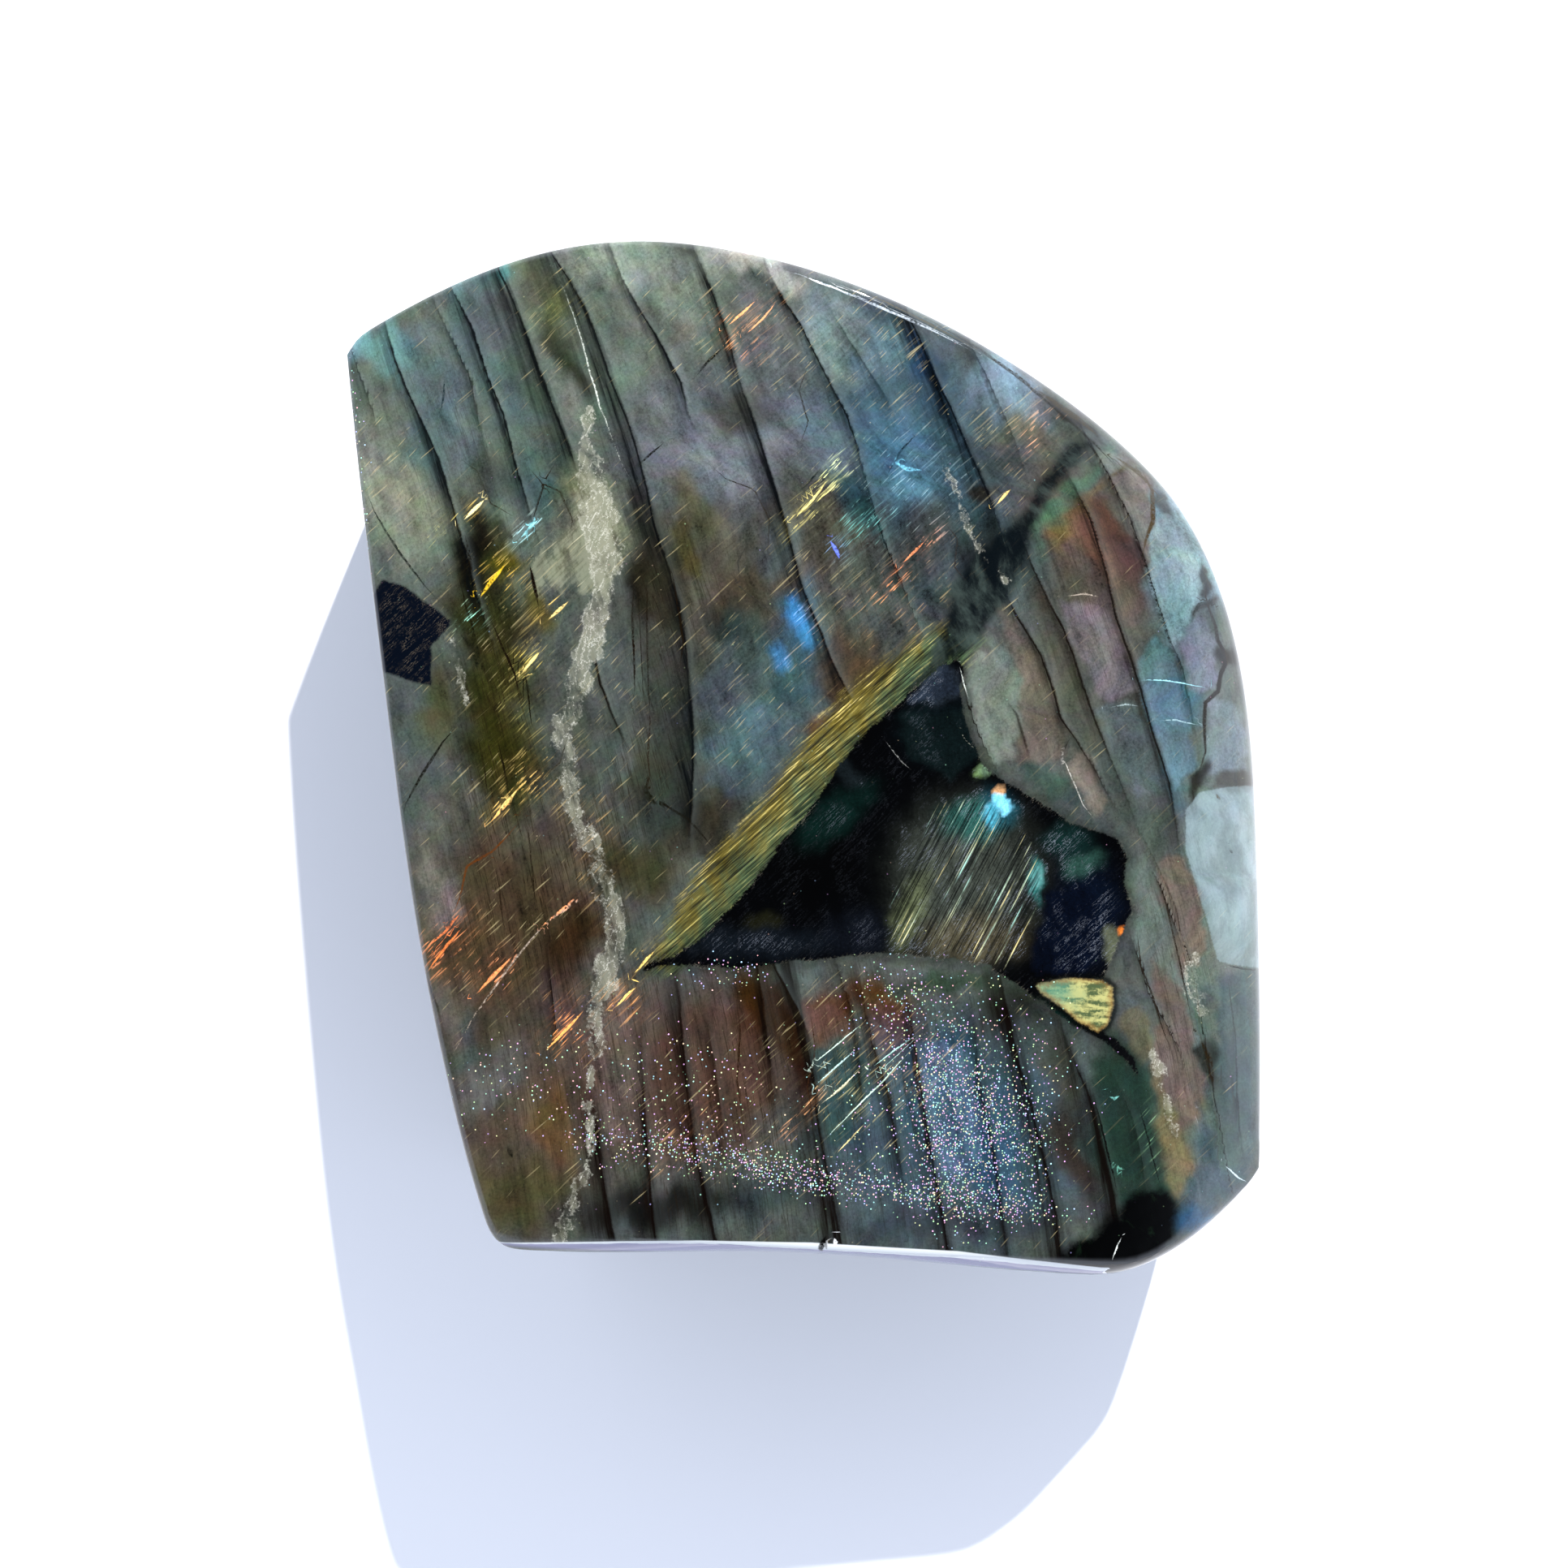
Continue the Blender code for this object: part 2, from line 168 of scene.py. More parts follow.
# soft grounds and plates: x, y, half sizes in mm, angle, colour, strength
grounds = [
    (-35.2, 37.6, 26.6, 23.1, 4, (118, 128, 116), 1),
    (-12.8, 30.9, 11.5, 10.7, 116, (130, 134, 140), 1),
    (9.0, 33.5, 11.5, 18.6, 116, (84, 106, 118), 1),
    (-9.5, 15.8, 7.1, 14.2, 34, (100, 96, 84), 1),
    (-16.7, -1.6, 8.9, 15.1, 104, (82, 86, 78), 1),
    (-30.9, -21.9, 11.5, 15.1, 64, (84, 72, 56), 1),
    (-27.1, -43.4, 10.7, 11.5, 94, (94, 86, 74), 1),
    (-9.5, -36.1, 15.1, 10.7, 99, (92, 72, 62), 1),
    (19.4, -40.5, 15.1, 12.4, 99, (76, 94, 104), 1),
    (37.5, -39.6, 4.4, 9.8, 104, (46, 66, 56), 1),
    (45.5, -16.9, 5.3, 29.3, 96, (112, 126, 118), 1),
    (27.7, 20.6, 6.2, 15.1, 112, (110, 98, 88), 1),
    (24.4, 6.8, 8.0, 8.0, 104, (108, 108, 96), 0.8),
    (-53.8, 41.7, 2.3, 2.7, 4, (134, 178, 182), 1),
    (-49.4, 41.9, 1.8, 4.0, 116, (130, 172, 172), 0.9),
    (-42.7, 49.2, 3.0, 3.0, 34, (142, 186, 180), 1),
    (-39.3, 41.0, 3.0, 10.7, 116, (100, 120, 120), 0.8),
    (-43.9, 33.4, 3.2, 8.0, 116, (94, 120, 124), 0.8),
    (-43.3, 32.5, 1.2, 1.8, 116, (86, 138, 146), 0.8),
    (-51.2, 29.4, 2.1, 7.1, 104, (132, 140, 128), 0.9),
    (-47.3, 23.7, 4.4, 6.7, 104, (158, 164, 144), 0.85),
    (-40.0, 50.8, 1.2, 2.0, 34, (98, 160, 154), 0.9),
    (-33.6, 35.9, 2.1, 10.7, 116, (94, 110, 98), 0.8),
    (-32.4, 25.9, 2.7, 3.6, 116, (76, 104, 104), 0.8),
    (-33.9, 48.3, 2.3, 4.4, 116, (122, 132, 92), 0.9),
    (-30.5, 41.6, 1.8, 5.5, 116, (50, 52, 36), 0.9),
    (-37.5, 26.5, 2.3, 3.6, 116, (76, 86, 78), 0.8),
    (-35.5, -31.0, 2.3, 3.9, 84, (114, 106, 100), 0.8),
    (-17.1, -34.0, 3.0, 5.3, 96, (116, 102, 94), 0.7),
    (-29.2, 35.7, 1.4, 3.0, 116, (140, 146, 136), 0.8),
    (-24.1, 51.7, 3.0, 8.0, -4, (192, 206, 188), 1),
    (-22.1, 42.1, 3.0, 8.0, 116, (126, 134, 126), 0.7),
    (-17.6, 46.1, 3.6, 7.1, 116, (128, 132, 122), 0.7),
    (-8.0, 44.1, 3.9, 9.8, 116, (116, 120, 118), 0.7),
    (-10.8, 53.2, 2.0, 6.2, -10, (206, 208, 196), 1),
    (-12.0, 36.0, 3.6, 3.6, 116, (72, 72, 62), 0.8),
    (-2.4, 32.6, 3.2, 6.2, 116, (122, 142, 150), 0.85),
    (-2.5, 47.3, 3.4, 5.0, 116, (152, 170, 170), 0.95),
    (-7.1, 19.6, 2.7, 3.0, 64, (102, 112, 114), 0.8),
    (-10.2, 4.4, 2.7, 2.7, 64, (122, 134, 140), 0.85),
    (-17.3, -4.7, 2.7, 3.6, 99, (64, 64, 52), 0.7),
    (3.2, 5.9, 2.1, 1.8, 54, (88, 82, 60), 0.7),
    (4.0, 44.1, 2.7, 3.9, 116, (122, 148, 156), 0.9),
    (8.8, 44.6, 2.1, 3.6, 116, (70, 104, 140), 0.8),
    (5.6, 32.3, 3.9, 5.0, 116, (96, 132, 154), 0.9),
    (7.8, 27.5, 3.2, 3.9, 24, (100, 140, 158), 0.9),
    (0.0, 43.8, 2.1, 2.7, 116, (142, 160, 158), 0.85),
    (-12.5, 28.2, 4.8, 4.8, 116, (152, 160, 164), 0.75),
    (1.9, 24.8, 3.2, 2.7, 24, (50, 84, 92), 0.8),
    (8.4, 20.8, 3.6, 5.3, 34, (82, 86, 82), 0.85),
    (10.5, 43.3, 1.8, 5.3, 116, (44, 68, 88), 0.9),
    (16.8, 34.2, 2.7, 5.3, 116, (66, 72, 68), 0.8),
    (20.9, 37.8, 2.7, 3.6, 24, (112, 108, 96), 0.8),
    (18.6, 42.0, 2.5, 4.4, -30, (158, 182, 198), 0.9),
    (-35.5, 8.7, 4.3, 12.4, 104, (54, 54, 18), 0.95),
    (-32.6, -2.7, 5.0, 7.5, 84, (56, 54, 14), 0.95),
    (-38.5, 19.2, 2.1, 4.4, 116, (48, 50, 28), 0.8),
    (-34.7, 16.6, 2.1, 1.8, 64, (86, 80, 32), 0.9),
    (-30.1, 12.6, 1.8, 2.3, 64, (96, 84, 32), 0.8),
    (-39.8, 1.3, 2.1, 5.3, 104, (88, 86, 58), 0.8),
    (-25.8, 22.7, 3.2, 5.3, 104, (146, 148, 122), 0.95),
    (-28.1, 19.0, 2.0, 3.0, 44, (138, 138, 112), 0.8),
    (-19.1, 18.7, 2.1, 5.3, 112, (64, 58, 38), 0.6),
    (-15.9, 22.5, 2.3, 3.9, 112, (92, 88, 52), 0.7),
    (-21.0, 7.0, 2.7, 4.4, 99, (92, 102, 94), 0.8),
    (-10.3, 5.1, 3.6, 3.2, 104, (90, 98, 104), 0.8),
    (-5.4, -0.3, 3.6, 5.3, 24, (94, 130, 132), 0.85),
    (-8.0, 8.8, 3.0, 3.9, 34, (66, 88, 86), 0.8),
    (-2.6, 11.9, 2.3, 3.9, 114, (76, 110, 130), 0.8),
    (4.3, 7.9, 2.7, 2.7, 54, (92, 82, 66), 0.7),
    (-10.4, -8.2, 2.7, 3.6, 114, (60, 56, 42), 0.6),
    (-16.6, -13.0, 5.3, 3.9, 94, (72, 68, 46), 0.85),
    (-16.1, -8.6, 2.0, 3.6, 99, (70, 82, 76), 0.7),
    (-38.7, -9.3, 3.0, 3.9, 74, (110, 110, 100), 0.8),
    (-38.4, -17.6, 2.3, 3.9, 94, (148, 142, 134), 0.85),
    (-23.7, -22.3, 2.7, 4.4, 84, (62, 44, 30), 0.9),
    (-23.3, -28.4, 2.7, 4.4, 94, (96, 80, 78), 0.8),
    (-31.3, -37.7, 3.2, 3.9, 44, (104, 104, 102), 0.9),
    (-34.7, -34.4, 1.2, 3.9, 79, (86, 100, 98), 0.6),
    (-27.3, -49.4, 5.3, 3.9, 94, (84, 80, 54), 0.8),
    (-22.7, -43.1, 2.3, 4.4, 104, (112, 88, 58), 0.7),
    (-3.2, -27.9, 2.1, 4.4, 99, (74, 50, 20), 0.95),
    (1.0, -32.0, 1.4, 6.2, 104, (66, 36, 14), 0.9),
    (4.5, -27.4, 1.8, 2.3, 4, (108, 72, 60), 0.9),
    (9.6, -26.2, 2.7, 5.3, 4, (92, 62, 34), 0.95),
    (18.0, -23.4, 1.2, 8.0, -1, (60, 74, 60), 0.8),
    (24.3, -26.2, 3.6, 3.2, 104, (42, 46, 38), 0.9),
    (6.4, -35.1, 2.5, 5.7, 102, (50, 78, 80), 0.95),
    (17.5, -33.6, 4.4, 5.3, 102, (52, 84, 98), 0.95),
    (23.8, -42.0, 3.6, 7.1, 102, (66, 96, 122), 0.9),
    (-0.4, -49.4, 2.7, 7.1, 4, (74, 84, 84), 0.9),
    (17.6, -50.1, 1.8, 13.3, 1, (66, 72, 80), 0.9),
    (31.6, -41.7, 2.1, 6.2, 104, (56, 44, 38), 0.9),
    (29.1, -33.0, 2.3, 4.4, 104, (84, 86, 74), 0.8),
    (-13.2, -51.0, 2.7, 8.9, 4, (18, 16, 6), 0.95),
    (12.4, -28.6, 2.7, 2.7, 4, (96, 74, 84), 0.6),
    (25.1, 28.2, 1.2, 8.5, 63, (98, 138, 112), 0.85),
    (26.5, 26.7, 1.0, 7.5, 63, (136, 122, 80), 0.8),
    (-38.8, 18.3, 0.9, 5.3, 109, (20, 16, 8), 0.85),
    (-31.4, 16.5, 0.7, 2.3, 104, (16, 10, 4), 0.85),
    (-19.7, 15.5, 1.4, 3.9, 102, (22, 14, 6), 0.85),
    (-32.3, 9.8, 1.4, 2.3, 64, (40, 32, 8), 0.6),
    (12.1, 39.3, 1.6, 6.7, 116, (30, 42, 54), 0.85),
    (15.5, 19.6, 3.2, 5.7, 66, (56, 60, 56), 0.85),
    (16.3, 28.2, 2.0, 1.8, 64, (70, 56, 36), 0.8),
    (-3.4, 6.5, 3.6, 3.9, 24, (72, 104, 108), 0.8),
    (2.0, 6.9, 3.2, 2.0, 44, (98, 80, 62), 0.7),
    (-10.3, 10.4, 2.7, 2.3, 24, (48, 62, 58), 0.8),
    (-9.3, 13.6, 2.3, 2.7, 64, (86, 72, 58), 0.7),
    (0.5, 1.9, 0.8, 3.0, 60, (110, 72, 36), 0.7),
    (27.9, 23.8, 2.3, 4.8, 112, (144, 108, 92), 0.9),
    (32.1, 31.1, 1.4, 3.6, 116, (124, 116, 104), 0.8),
    (30.5, 26.8, 2.1, 5.3, 112, (98, 64, 50), 0.85),
    (32.4, 22.8, 1.8, 4.4, 112, (94, 70, 70), 0.8),
    (28.6, 15.2, 1.6, 4.4, 112, (130, 124, 122), 0.8),
    (20.5, 6.5, 1.6, 4.4, 116, (140, 158, 146), 0.9),
    (37.8, 24.2, 3.9, 7.1, 104, (160, 194, 200), 1),
    (37.5, 8.7, 3.0, 4.4, 112, (88, 134, 146), 0.9),
    (33.1, 7.5, 1.8, 5.3, 112, (84, 84, 84), 0.7),
    (39.5, -0.2, 2.3, 3.2, 112, (84, 116, 126), 0.8),
    (35.0, 0.4, 2.7, 2.7, 112, (110, 124, 116), 0.8),
    (44.9, -7.9, 3.9, 7.1, 99, (110, 126, 122), 0.95),
    (48.3, -30.3, 2.3, 10.7, 96, (74, 86, 80), 0.9),
    (40.4, -19.9, 1.6, 10.7, 104, (114, 106, 96), 0.8),
    (43.1, -38.1, 2.1, 5.3, 99, (124, 114, 84), 0.9),
    (45.1, -49.1, 1.8, 2.0, -6, (60, 124, 168), 0.95),
    (49.2, -42.7, 2.3, 4.4, 84, (78, 98, 102), 0.8),
    (39.2, -49.7, 3.4, 5.0, 14, (4, 5, 4), 1),
    (37.0, -33.5, 3.0, 4.4, 104, (50, 72, 60), 0.8),
]

# plates with a clear outline: softness in mm, colour, strength, then x and y round each
plates = [
    (1.0, (58, 52, 34), 0.6, [(-22.4, 27.5), (-20.5, 28.0), (-17.9, 24.2), (-15.1, 19.9),
        (-13.7, 15.5), (-14.6, 11.9), (-17.5, 12.6), (-20.0, 14.6), (-20.8, 18.6), (-20.8, 22.2)]),
    (0.7, (96, 88, 44), 0.7, [(-16.9, 24.3), (-15.5, 24.4), (-13.1, 20.0), (-13.1, 17.9),
        (-15.0, 19.0)]),
    (0.8, (50, 44, 28), 0.6, [(-12.6, -6.1), (-10.2, -6.0), (-6.8, -9.7), (-7.8, -13.3),
        (-10.4, -12.2), (-12.0, -9.2)]),
    (0.7, (96, 102, 98), 0.6, [(-23.9, 9.4), (-20.1, 10.6), (-18.9, 4.5), (-18.3, -3.4),
        (-21.1, -6.3), (-23.0, -2.0), (-24.1, 4.1)]),
    (0.7, (92, 110, 116), 0.6, [(-11.2, 3.2), (-3.3, 4.7), (0.4, 2.3), (-2.6, -3.2), (-7.2, -5.7),
        (-10.2, -3.8)]),
    (0.9, (92, 178, 250), 1.0, [(-3.3, 16.6), (-2.5, 17.1), (-1.8, 15.3), (-0.3, 12.6),
        (-0.1, 11.2), (-0.9, 11.5), (-1.9, 12.8), (-3.0, 13.6), (-3.5, 15.2)]),
    (0.9, (84, 156, 214), 0.9, [(-4.9, 10.8), (-3.9, 11.8), (-3.1, 10.6), (-2.6, 8.7), (-3.4, 8.2),
        (-4.5, 9.1)]),
    (0.5, (148, 138, 124), 0.9, [(28.3, -0.1), (28.4, 2.6), (30.5, 1.4), (32.5, -2.9),
        (31.6, -4.8), (30.0, -3.5)]),
    (0.6, (126, 142, 138), 0.9, [(41.2, -3.6), (41.8, -2.2), (43.5, -1.2), (48.4, -0.4),
        (49.9, -15.7), (45.5, -16.4), (43.4, -12.5), (41.8, -8.1)]),
    (0.6, (116, 130, 120), 0.85, [(34.9, -9.5), (37.4, -8.8), (38.9, -12.8), (40.5, -17.2),
        (41.6, -21.6), (42.6, -26.0), (39.8, -22.6), (37.4, -20.1), (36.1, -14.8)]),
    (0.5, (138, 122, 106), 0.85, [(38.4, -10.6), (39.6, -8.3), (41.4, -8.6), (43.3, -12.5),
        (44.3, -16.9), (44.0, -20.6), (42.4, -20.7), (41.2, -18.0), (40.1, -14.5)]),
    (0.6, (122, 108, 98), 0.85, [(38.3, -20.4), (40.1, -21.7), (42.0, -22.9), (43.6, -27.8),
        (44.3, -30.5), (45.4, -34.0), (45.2, -37.1), (43.1, -39.0), (41.1, -35.1), (39.4, -30.7),
        (40.0, -26.2)]),
    (0.5, (112, 110, 86), 0.85, [(35.5, -26.9), (37.3, -25.4), (39.0, -27.1), (39.6, -29.8),
        (38.5, -31.6), (36.8, -29.9)]),
    (0.6, (132, 120, 88), 0.85, [(38.9, -29.8), (40.7, -33.3), (41.6, -35.9), (43.1, -39.0),
        (44.8, -42.9), (43.4, -46.0), (42.4, -45.6), (41.7, -41.2), (40.6, -36.9)]),
    (0.9, (76, 98, 106), 0.7, [(44.9, -35.8), (46.7, -39.3), (47.9, -43.7), (47.8, -47.7),
        (45.2, -48.6), (43.4, -47.3), (44.1, -45.6), (45.1, -42.0)]),
    (1.2, (58, 104, 138), 0.7, [(43.2, -47.5), (44.9, -46.8), (46.6, -47.8), (45.3, -49.9),
        (43.5, -49.6)]),
    (0.7, (80, 96, 96), 0.85, [(45.9, -21.4), (50.8, -21.1), (52.0, -34.6), (51.3, -41.8),
        (49.0, -45.8), (47.9, -41.9), (46.8, -34.8)]),
    (0.7, (114, 122, 112), 0.8, [(44.1, -17.0), (47.4, -17.7), (50.7, -20.2), (45.9, -21.4),
        (46.4, -29.4), (45.1, -27.7), (45.0, -21.4)]),
    (0.6, (28, 20, 10), 0.8, [(43.9, -29.6), (44.8, -28.6), (46.9, -30.3), (46.4, -31.4),
        (46.1, -34.1), (45.3, -33.1)]),
    (1.2, (40, 62, 54), 0.8, [(32.9, -31.0), (36.0, -31.7), (38.3, -33.4), (39.9, -36.9),
        (41.7, -42.1), (42.4, -46.1), (40.7, -47.4), (37.2, -46.7), (34.6, -41.5)]),
    (0.5, (58, 82, 82), 0.85, [(2.8, -32.5), (8.6, -30.8), (9.7, -36.7), (6.4, -42.9), (4.8, -40.4)]),
    (0.6, (124, 90, 80), 0.6, [(1.8, -27.9), (4.5, -27.0), (7.7, -29.1), (7.3, -30.3), (2.7, -31.0)]),
    (0.8, (72, 48, 20), 0.7, [(-3.0, -25.6), (-0.8, -25.1), (1.4, -30.2), (2.1, -33.7),
        (-1.2, -32.1)]),
    (0.8, (118, 104, 96), 0.6, [(-19.8, -30.0), (-16.1, -29.6), (-14.5, -36.5), (-13.5, -42.8),
        (-17.9, -43.1), (-19.4, -36.8)]),
    (0.6, (98, 126, 154), 0.6, [(13.2, -31.2), (16.8, -30.1), (20.0, -31.7), (22.3, -42.1),
        (20.6, -44.8), (17.1, -44.1), (14.9, -38.1)]),
    (0.6, (90, 108, 106), 0.75, [(-10.9, 11.3), (-6.5, 12.0), (-3.6, 8.2), (-5.1, 5.5), (-8.6, 6.1)]),
    (0.4, (160, 186, 190), 0.95, [(34.9, 27.2), (35.4, 28.6), (36.7, 29.5), (38.9, 27.1),
        (40.5, 24.5), (41.0, 22.3), (40.9, 19.5), (39.6, 18.0), (39.2, 15.2), (38.5, 14.3),
        (37.4, 16.4), (36.1, 19.1), (34.9, 23.1)]),
    (2.5, (162, 200, 208), 0.8, [(35.4, 21.7), (40.7, 22.2), (40.9, 19.5), (39.6, 18.0),
        (39.2, 15.2), (38.5, 14.3), (36.8, 17.3), (35.7, 19.9)]),
    (0.4, (108, 146, 148), 0.9, [(35.1, 14.0), (36.5, 15.5), (37.9, 14.7), (39.2, 10.9),
        (34.9, 10.5)]),
    (0.5, (112, 144, 158), 0.85, [(34.9, 10.3), (39.5, 10.5), (40.8, 6.3), (41.9, 0.9),
        (39.7, -1.5), (37.9, 2.9), (36.3, 6.8)]),
    (0.5, (136, 152, 158), 0.9, [(42.8, 9.0), (46.2, 8.7), (47.4, 1.3), (42.6, 1.0), (42.8, 5.5)]),
    (0.5, (138, 146, 162), 0.85, [(39.7, 17.1), (41.2, 18.1), (42.4, 16.4), (43.2, 14.7),
        (43.3, 10.1), (40.6, 9.9), (39.2, 14.3)]),
    (0.4, (150, 156, 146), 0.85, [(28.3, 36.2), (30.2, 35.5), (31.4, 34.9), (30.2, 32.7),
        (28.8, 34.4)]),
    (0.4, (142, 134, 124), 0.85, [(30.4, 32.6), (32.3, 34.3), (34.3, 32.2), (35.2, 28.6),
        (34.7, 24.0), (33.0, 26.6), (31.6, 29.6)]),
    (0.5, (150, 140, 144), 0.85, [(25.7, 18.2), (29.2, 18.9), (31.5, 17.3), (33.1, 13.8),
        (34.6, 9.4), (32.3, 7.4), (29.4, 10.8), (27.3, 14.2)]),
    (0.5, (110, 124, 124), 0.8, [(30.1, 7.1), (35.0, 8.2), (36.9, 4.2), (39.0, -0.6), (35.8, -2.4),
        (33.1, 2.1)]),
    (0.5, (148, 160, 146), 0.9, [(16.2, 11.1), (17.4, 12.5), (20.6, 11.4), (21.9, 8.4),
        (22.5, 4.8), (22.2, 1.3), (20.2, -0.2), (19.0, 1.0), (18.1, 4.5), (16.9, 8.0)]),
    (0.6, (128, 118, 104), 0.85, [(22.0, 12.9), (24.2, 12.2), (25.7, 8.7), (26.7, 5.2),
        (27.6, 1.7), (25.0, 0.1), (23.0, 0.4), (22.3, 6.6)]),
    (0.6, (150, 136, 126), 0.6, [(18.7, 17.6), (20.0, 17.7), (22.2, 14.3), (24.1, 10.4),
        (22.7, 8.4), (20.9, 12.8)]),
    (0.4, (70, 92, 84), 0.8, [(22.5, 0.6), (25.8, 0.2), (28.5, -1.0), (30.1, -4.4), (27.0, -3.3),
        (23.5, -1.8)]),
    (0.8, (112, 126, 124), 0.7, [(-47.9, 44.3), (-46.5, 46.4), (-44.4, 43.5), (-42.7, 40.4),
        (-40.2, 35.5), (-38.8, 30.1), (-41.2, 27.2), (-43.5, 30.9), (-45.9, 35.1), (-47.3, 39.7)]),
    (0.8, (78, 84, 72), 0.6, [(-37.3, 54.2), (-34.3, 53.8), (-32.1, 49.8), (-33.8, 45.1),
        (-36.3, 46.8), (-36.3, 50.5)]),
    (0.7, (120, 126, 104), 0.7, [(-30.5, 26.0), (-28.5, 19.0), (-23.6, 15.2), (-22.5, 18.5),
        (-25.9, 23.6), (-28.5, 27.1)]),
    (0.8, (100, 104, 106), 0.6, [(-44.7, 53.8), (-39.4, 50.8), (-36.0, 44.5), (-39.3, 41.0),
        (-42.1, 45.0)]),
    (0.5, (44, 38, 26), 0.9, [(43.2, 15.4), (44.3, 14.9), (45.6, 14.3), (45.3, 12.8), (44.1, 13.1),
        (43.0, 14.1)]),
    (0.4, (44, 38, 26), 0.9, [(40.7, 24.5), (41.6, 23.7), (41.8, 20.5), (41.0, 20.0), (40.5, 22.2)]),
    (0.5, (36, 32, 22), 0.9, [(41.3, -2.5), (41.5, 0.0), (42.4, 1.9), (43.3, 2.4), (43.1, 0.3),
        (42.3, -1.6)]),
    (0.4, (56, 48, 34), 0.8, [(42.4, 20.6), (42.8, 20.3), (42.2, 19.3), (41.0, 18.5), (39.8, 17.5),
        (40.6, 19.2)]),
    (0.6, (60, 54, 34), 0.8, [(44.2, 1.1), (48.2, 1.4), (48.8, -0.6), (45.7, -1.3), (43.8, -0.6)]),
    (0.6, (60, 56, 40), 0.8, [(35.1, 31.9), (36.6, 31.3), (37.3, 29.5), (36.0, 29.2), (35.1, 30.2)]),
    (0.5, (40, 36, 22), 0.9, [(22.4, 41.4), (24.4, 40.5), (28.0, 38.1), (29.0, 36.8), (26.7, 37.9),
        (23.4, 39.7)]),
    (0.6, (142, 154, 142), 0.7, [(-27.7, 54.8), (-22.7, 55.1), (-18.0, 53.8), (-14.8, 49.1),
        (-14.5, 46.4), (-18.0, 46.1), (-21.9, 48.6), (-25.4, 51.2)]),
]

# steep fractures, left to right: softness in mm, then x, y and strength down the line
upperCracks = [
    (0.8, [(-56.7, 44.8, 0), (-55.1, 41.4, 0.5), (-53.0, 37.5, 0.5), (-51.4, 34.3, 0.4), (-50.1, 31.2, 0)]),
    (1.0, [(-52.1, 45.5, 0.3), (-49.7, 39.9, 0.8), (-47.6, 36.1, 0.7), (-45.3, 32.5, 0.7),
           (-43.4, 29.3, 0.7), (-41.3, 24.5, 0.8), (-40.1, 21.4, 0.9), (-38.8, 18.3, 0.9),
           (-37.5, 14.8, 0.8), (-35.8, 11.3, 0.4), (-34.4, 7.9, 0)]),
    (0.7, [(-46.0, 46.7, 0.3), (-43.2, 42.4, 0.5), (-40.9, 38.8, 0.5), (-39.4, 33.8, 0.4),
           (-37.9, 30.1, 0)]),
    (1.0, [(-45.2, 49.6, 0.4), (-41.6, 44.4, 0.8), (-39.1, 38.8, 0.8), (-36.8, 34.7, 0.8),
           (-34.3, 28.0, 0.7), (-32.8, 24.5, 0.5), (-30.3, 18.8, 0)]),
    (2.0, [(-40.0, 52.2, 0.8), (-37.9, 48.8, 1), (-35.5, 44.4, 1), (-33.2, 39.6, 1), (-30.9, 35.1, 1),
           (-28.8, 31.1, 0.8), (-27.5, 28.0, 0)]),
    (2.3, [(-34.3, 54.1, 0.7), (-31.2, 50.3, 0.9), (-28.8, 46.8, 1), (-27.0, 43.2, 1),
           (-25.6, 40.0, 0.9), (-22.3, 33.7, 0.8), (-20.0, 27.6, 0.8), (-18.6, 23.2, 0.8),
           (-16.7, 18.9, 0.5), (-15.0, 14.5, 0.8), (-13.9, 10.1, 0.7), (-13.3, 6.6, 0.6),
           (-12.7, 3.1, 0.7), (-12.1, -2.1, 0.8), (-11.9, -7.4, 0.7), (-11.8, -11.8, 0)]),
    (0.7, [(-27.7, 55.2, 0.4), (-25.4, 50.7, 0.5), (-23.1, 47.4, 0.6), (-21.0, 44.8, 0.7),
           (-19.2, 42.1, 0.7), (-17.5, 39.5, 0.7), (-16.4, 36.1, 0.4), (-14.9, 33.5, 0)]),
    (1.5, [(-18.8, 56.3, 0.3), (-15.4, 50.3, 0.7), (-13.1, 45.2, 0.8), (-11.2, 40.1, 0.5),
           (-8.8, 34.9, 0.7), (-6.3, 28.8, 0.9), (-4.5, 24.3, 0.8), (-2.4, 18.3, 0.9),
           (-0.2, 14.0, 0.9), (2.1, 9.3, 0.8), (5.1, 4.6, 0.4), (7.1, 1.0, 0)]),
    (0.9, [(-9.4, 52.8, 0.3), (-7.3, 49.7, 0.7), (-5.2, 47.1, 0.7), (-3.3, 44.0, 0.7),
           (-1.3, 40.7, 0.6), (0.9, 37.2, 0.7), (2.2, 34.1, 0.6), (3.3, 31.0, 0.5), (4.4, 28.1, 0.4),
           (5.6, 24.9, 0.6), (7.3, 21.6, 0.7), (8.7, 18.8, 0.5), (10.9, 14.5, 0.3), (12.6, 12.1, 0)]),
    (0.8, [(-3.3, 50.5, 0), (0.1, 45.8, 0.4), (2.6, 42.5, 0.4), (4.8, 39.6, 0.3), (6.0, 36.9, 0)]),
    (2.2, [(5.8, 50.1, 0.5), (8.2, 45.9, 0.9), (10.1, 42.1, 1), (12.2, 38.6, 1), (13.9, 35.1, 1),
           (15.5, 32.3, 0.9), (16.9, 29.7, 0.7), (18.4, 26.2, 0.4), (20.1, 22.7, 0)]),
    (0.9, [(12.0, 48.6, 0.3), (15.2, 43.2, 0.5), (17.0, 39.9, 0.4), (18.9, 36.3, 0.3), (20.8, 31.8, 0)]),
]
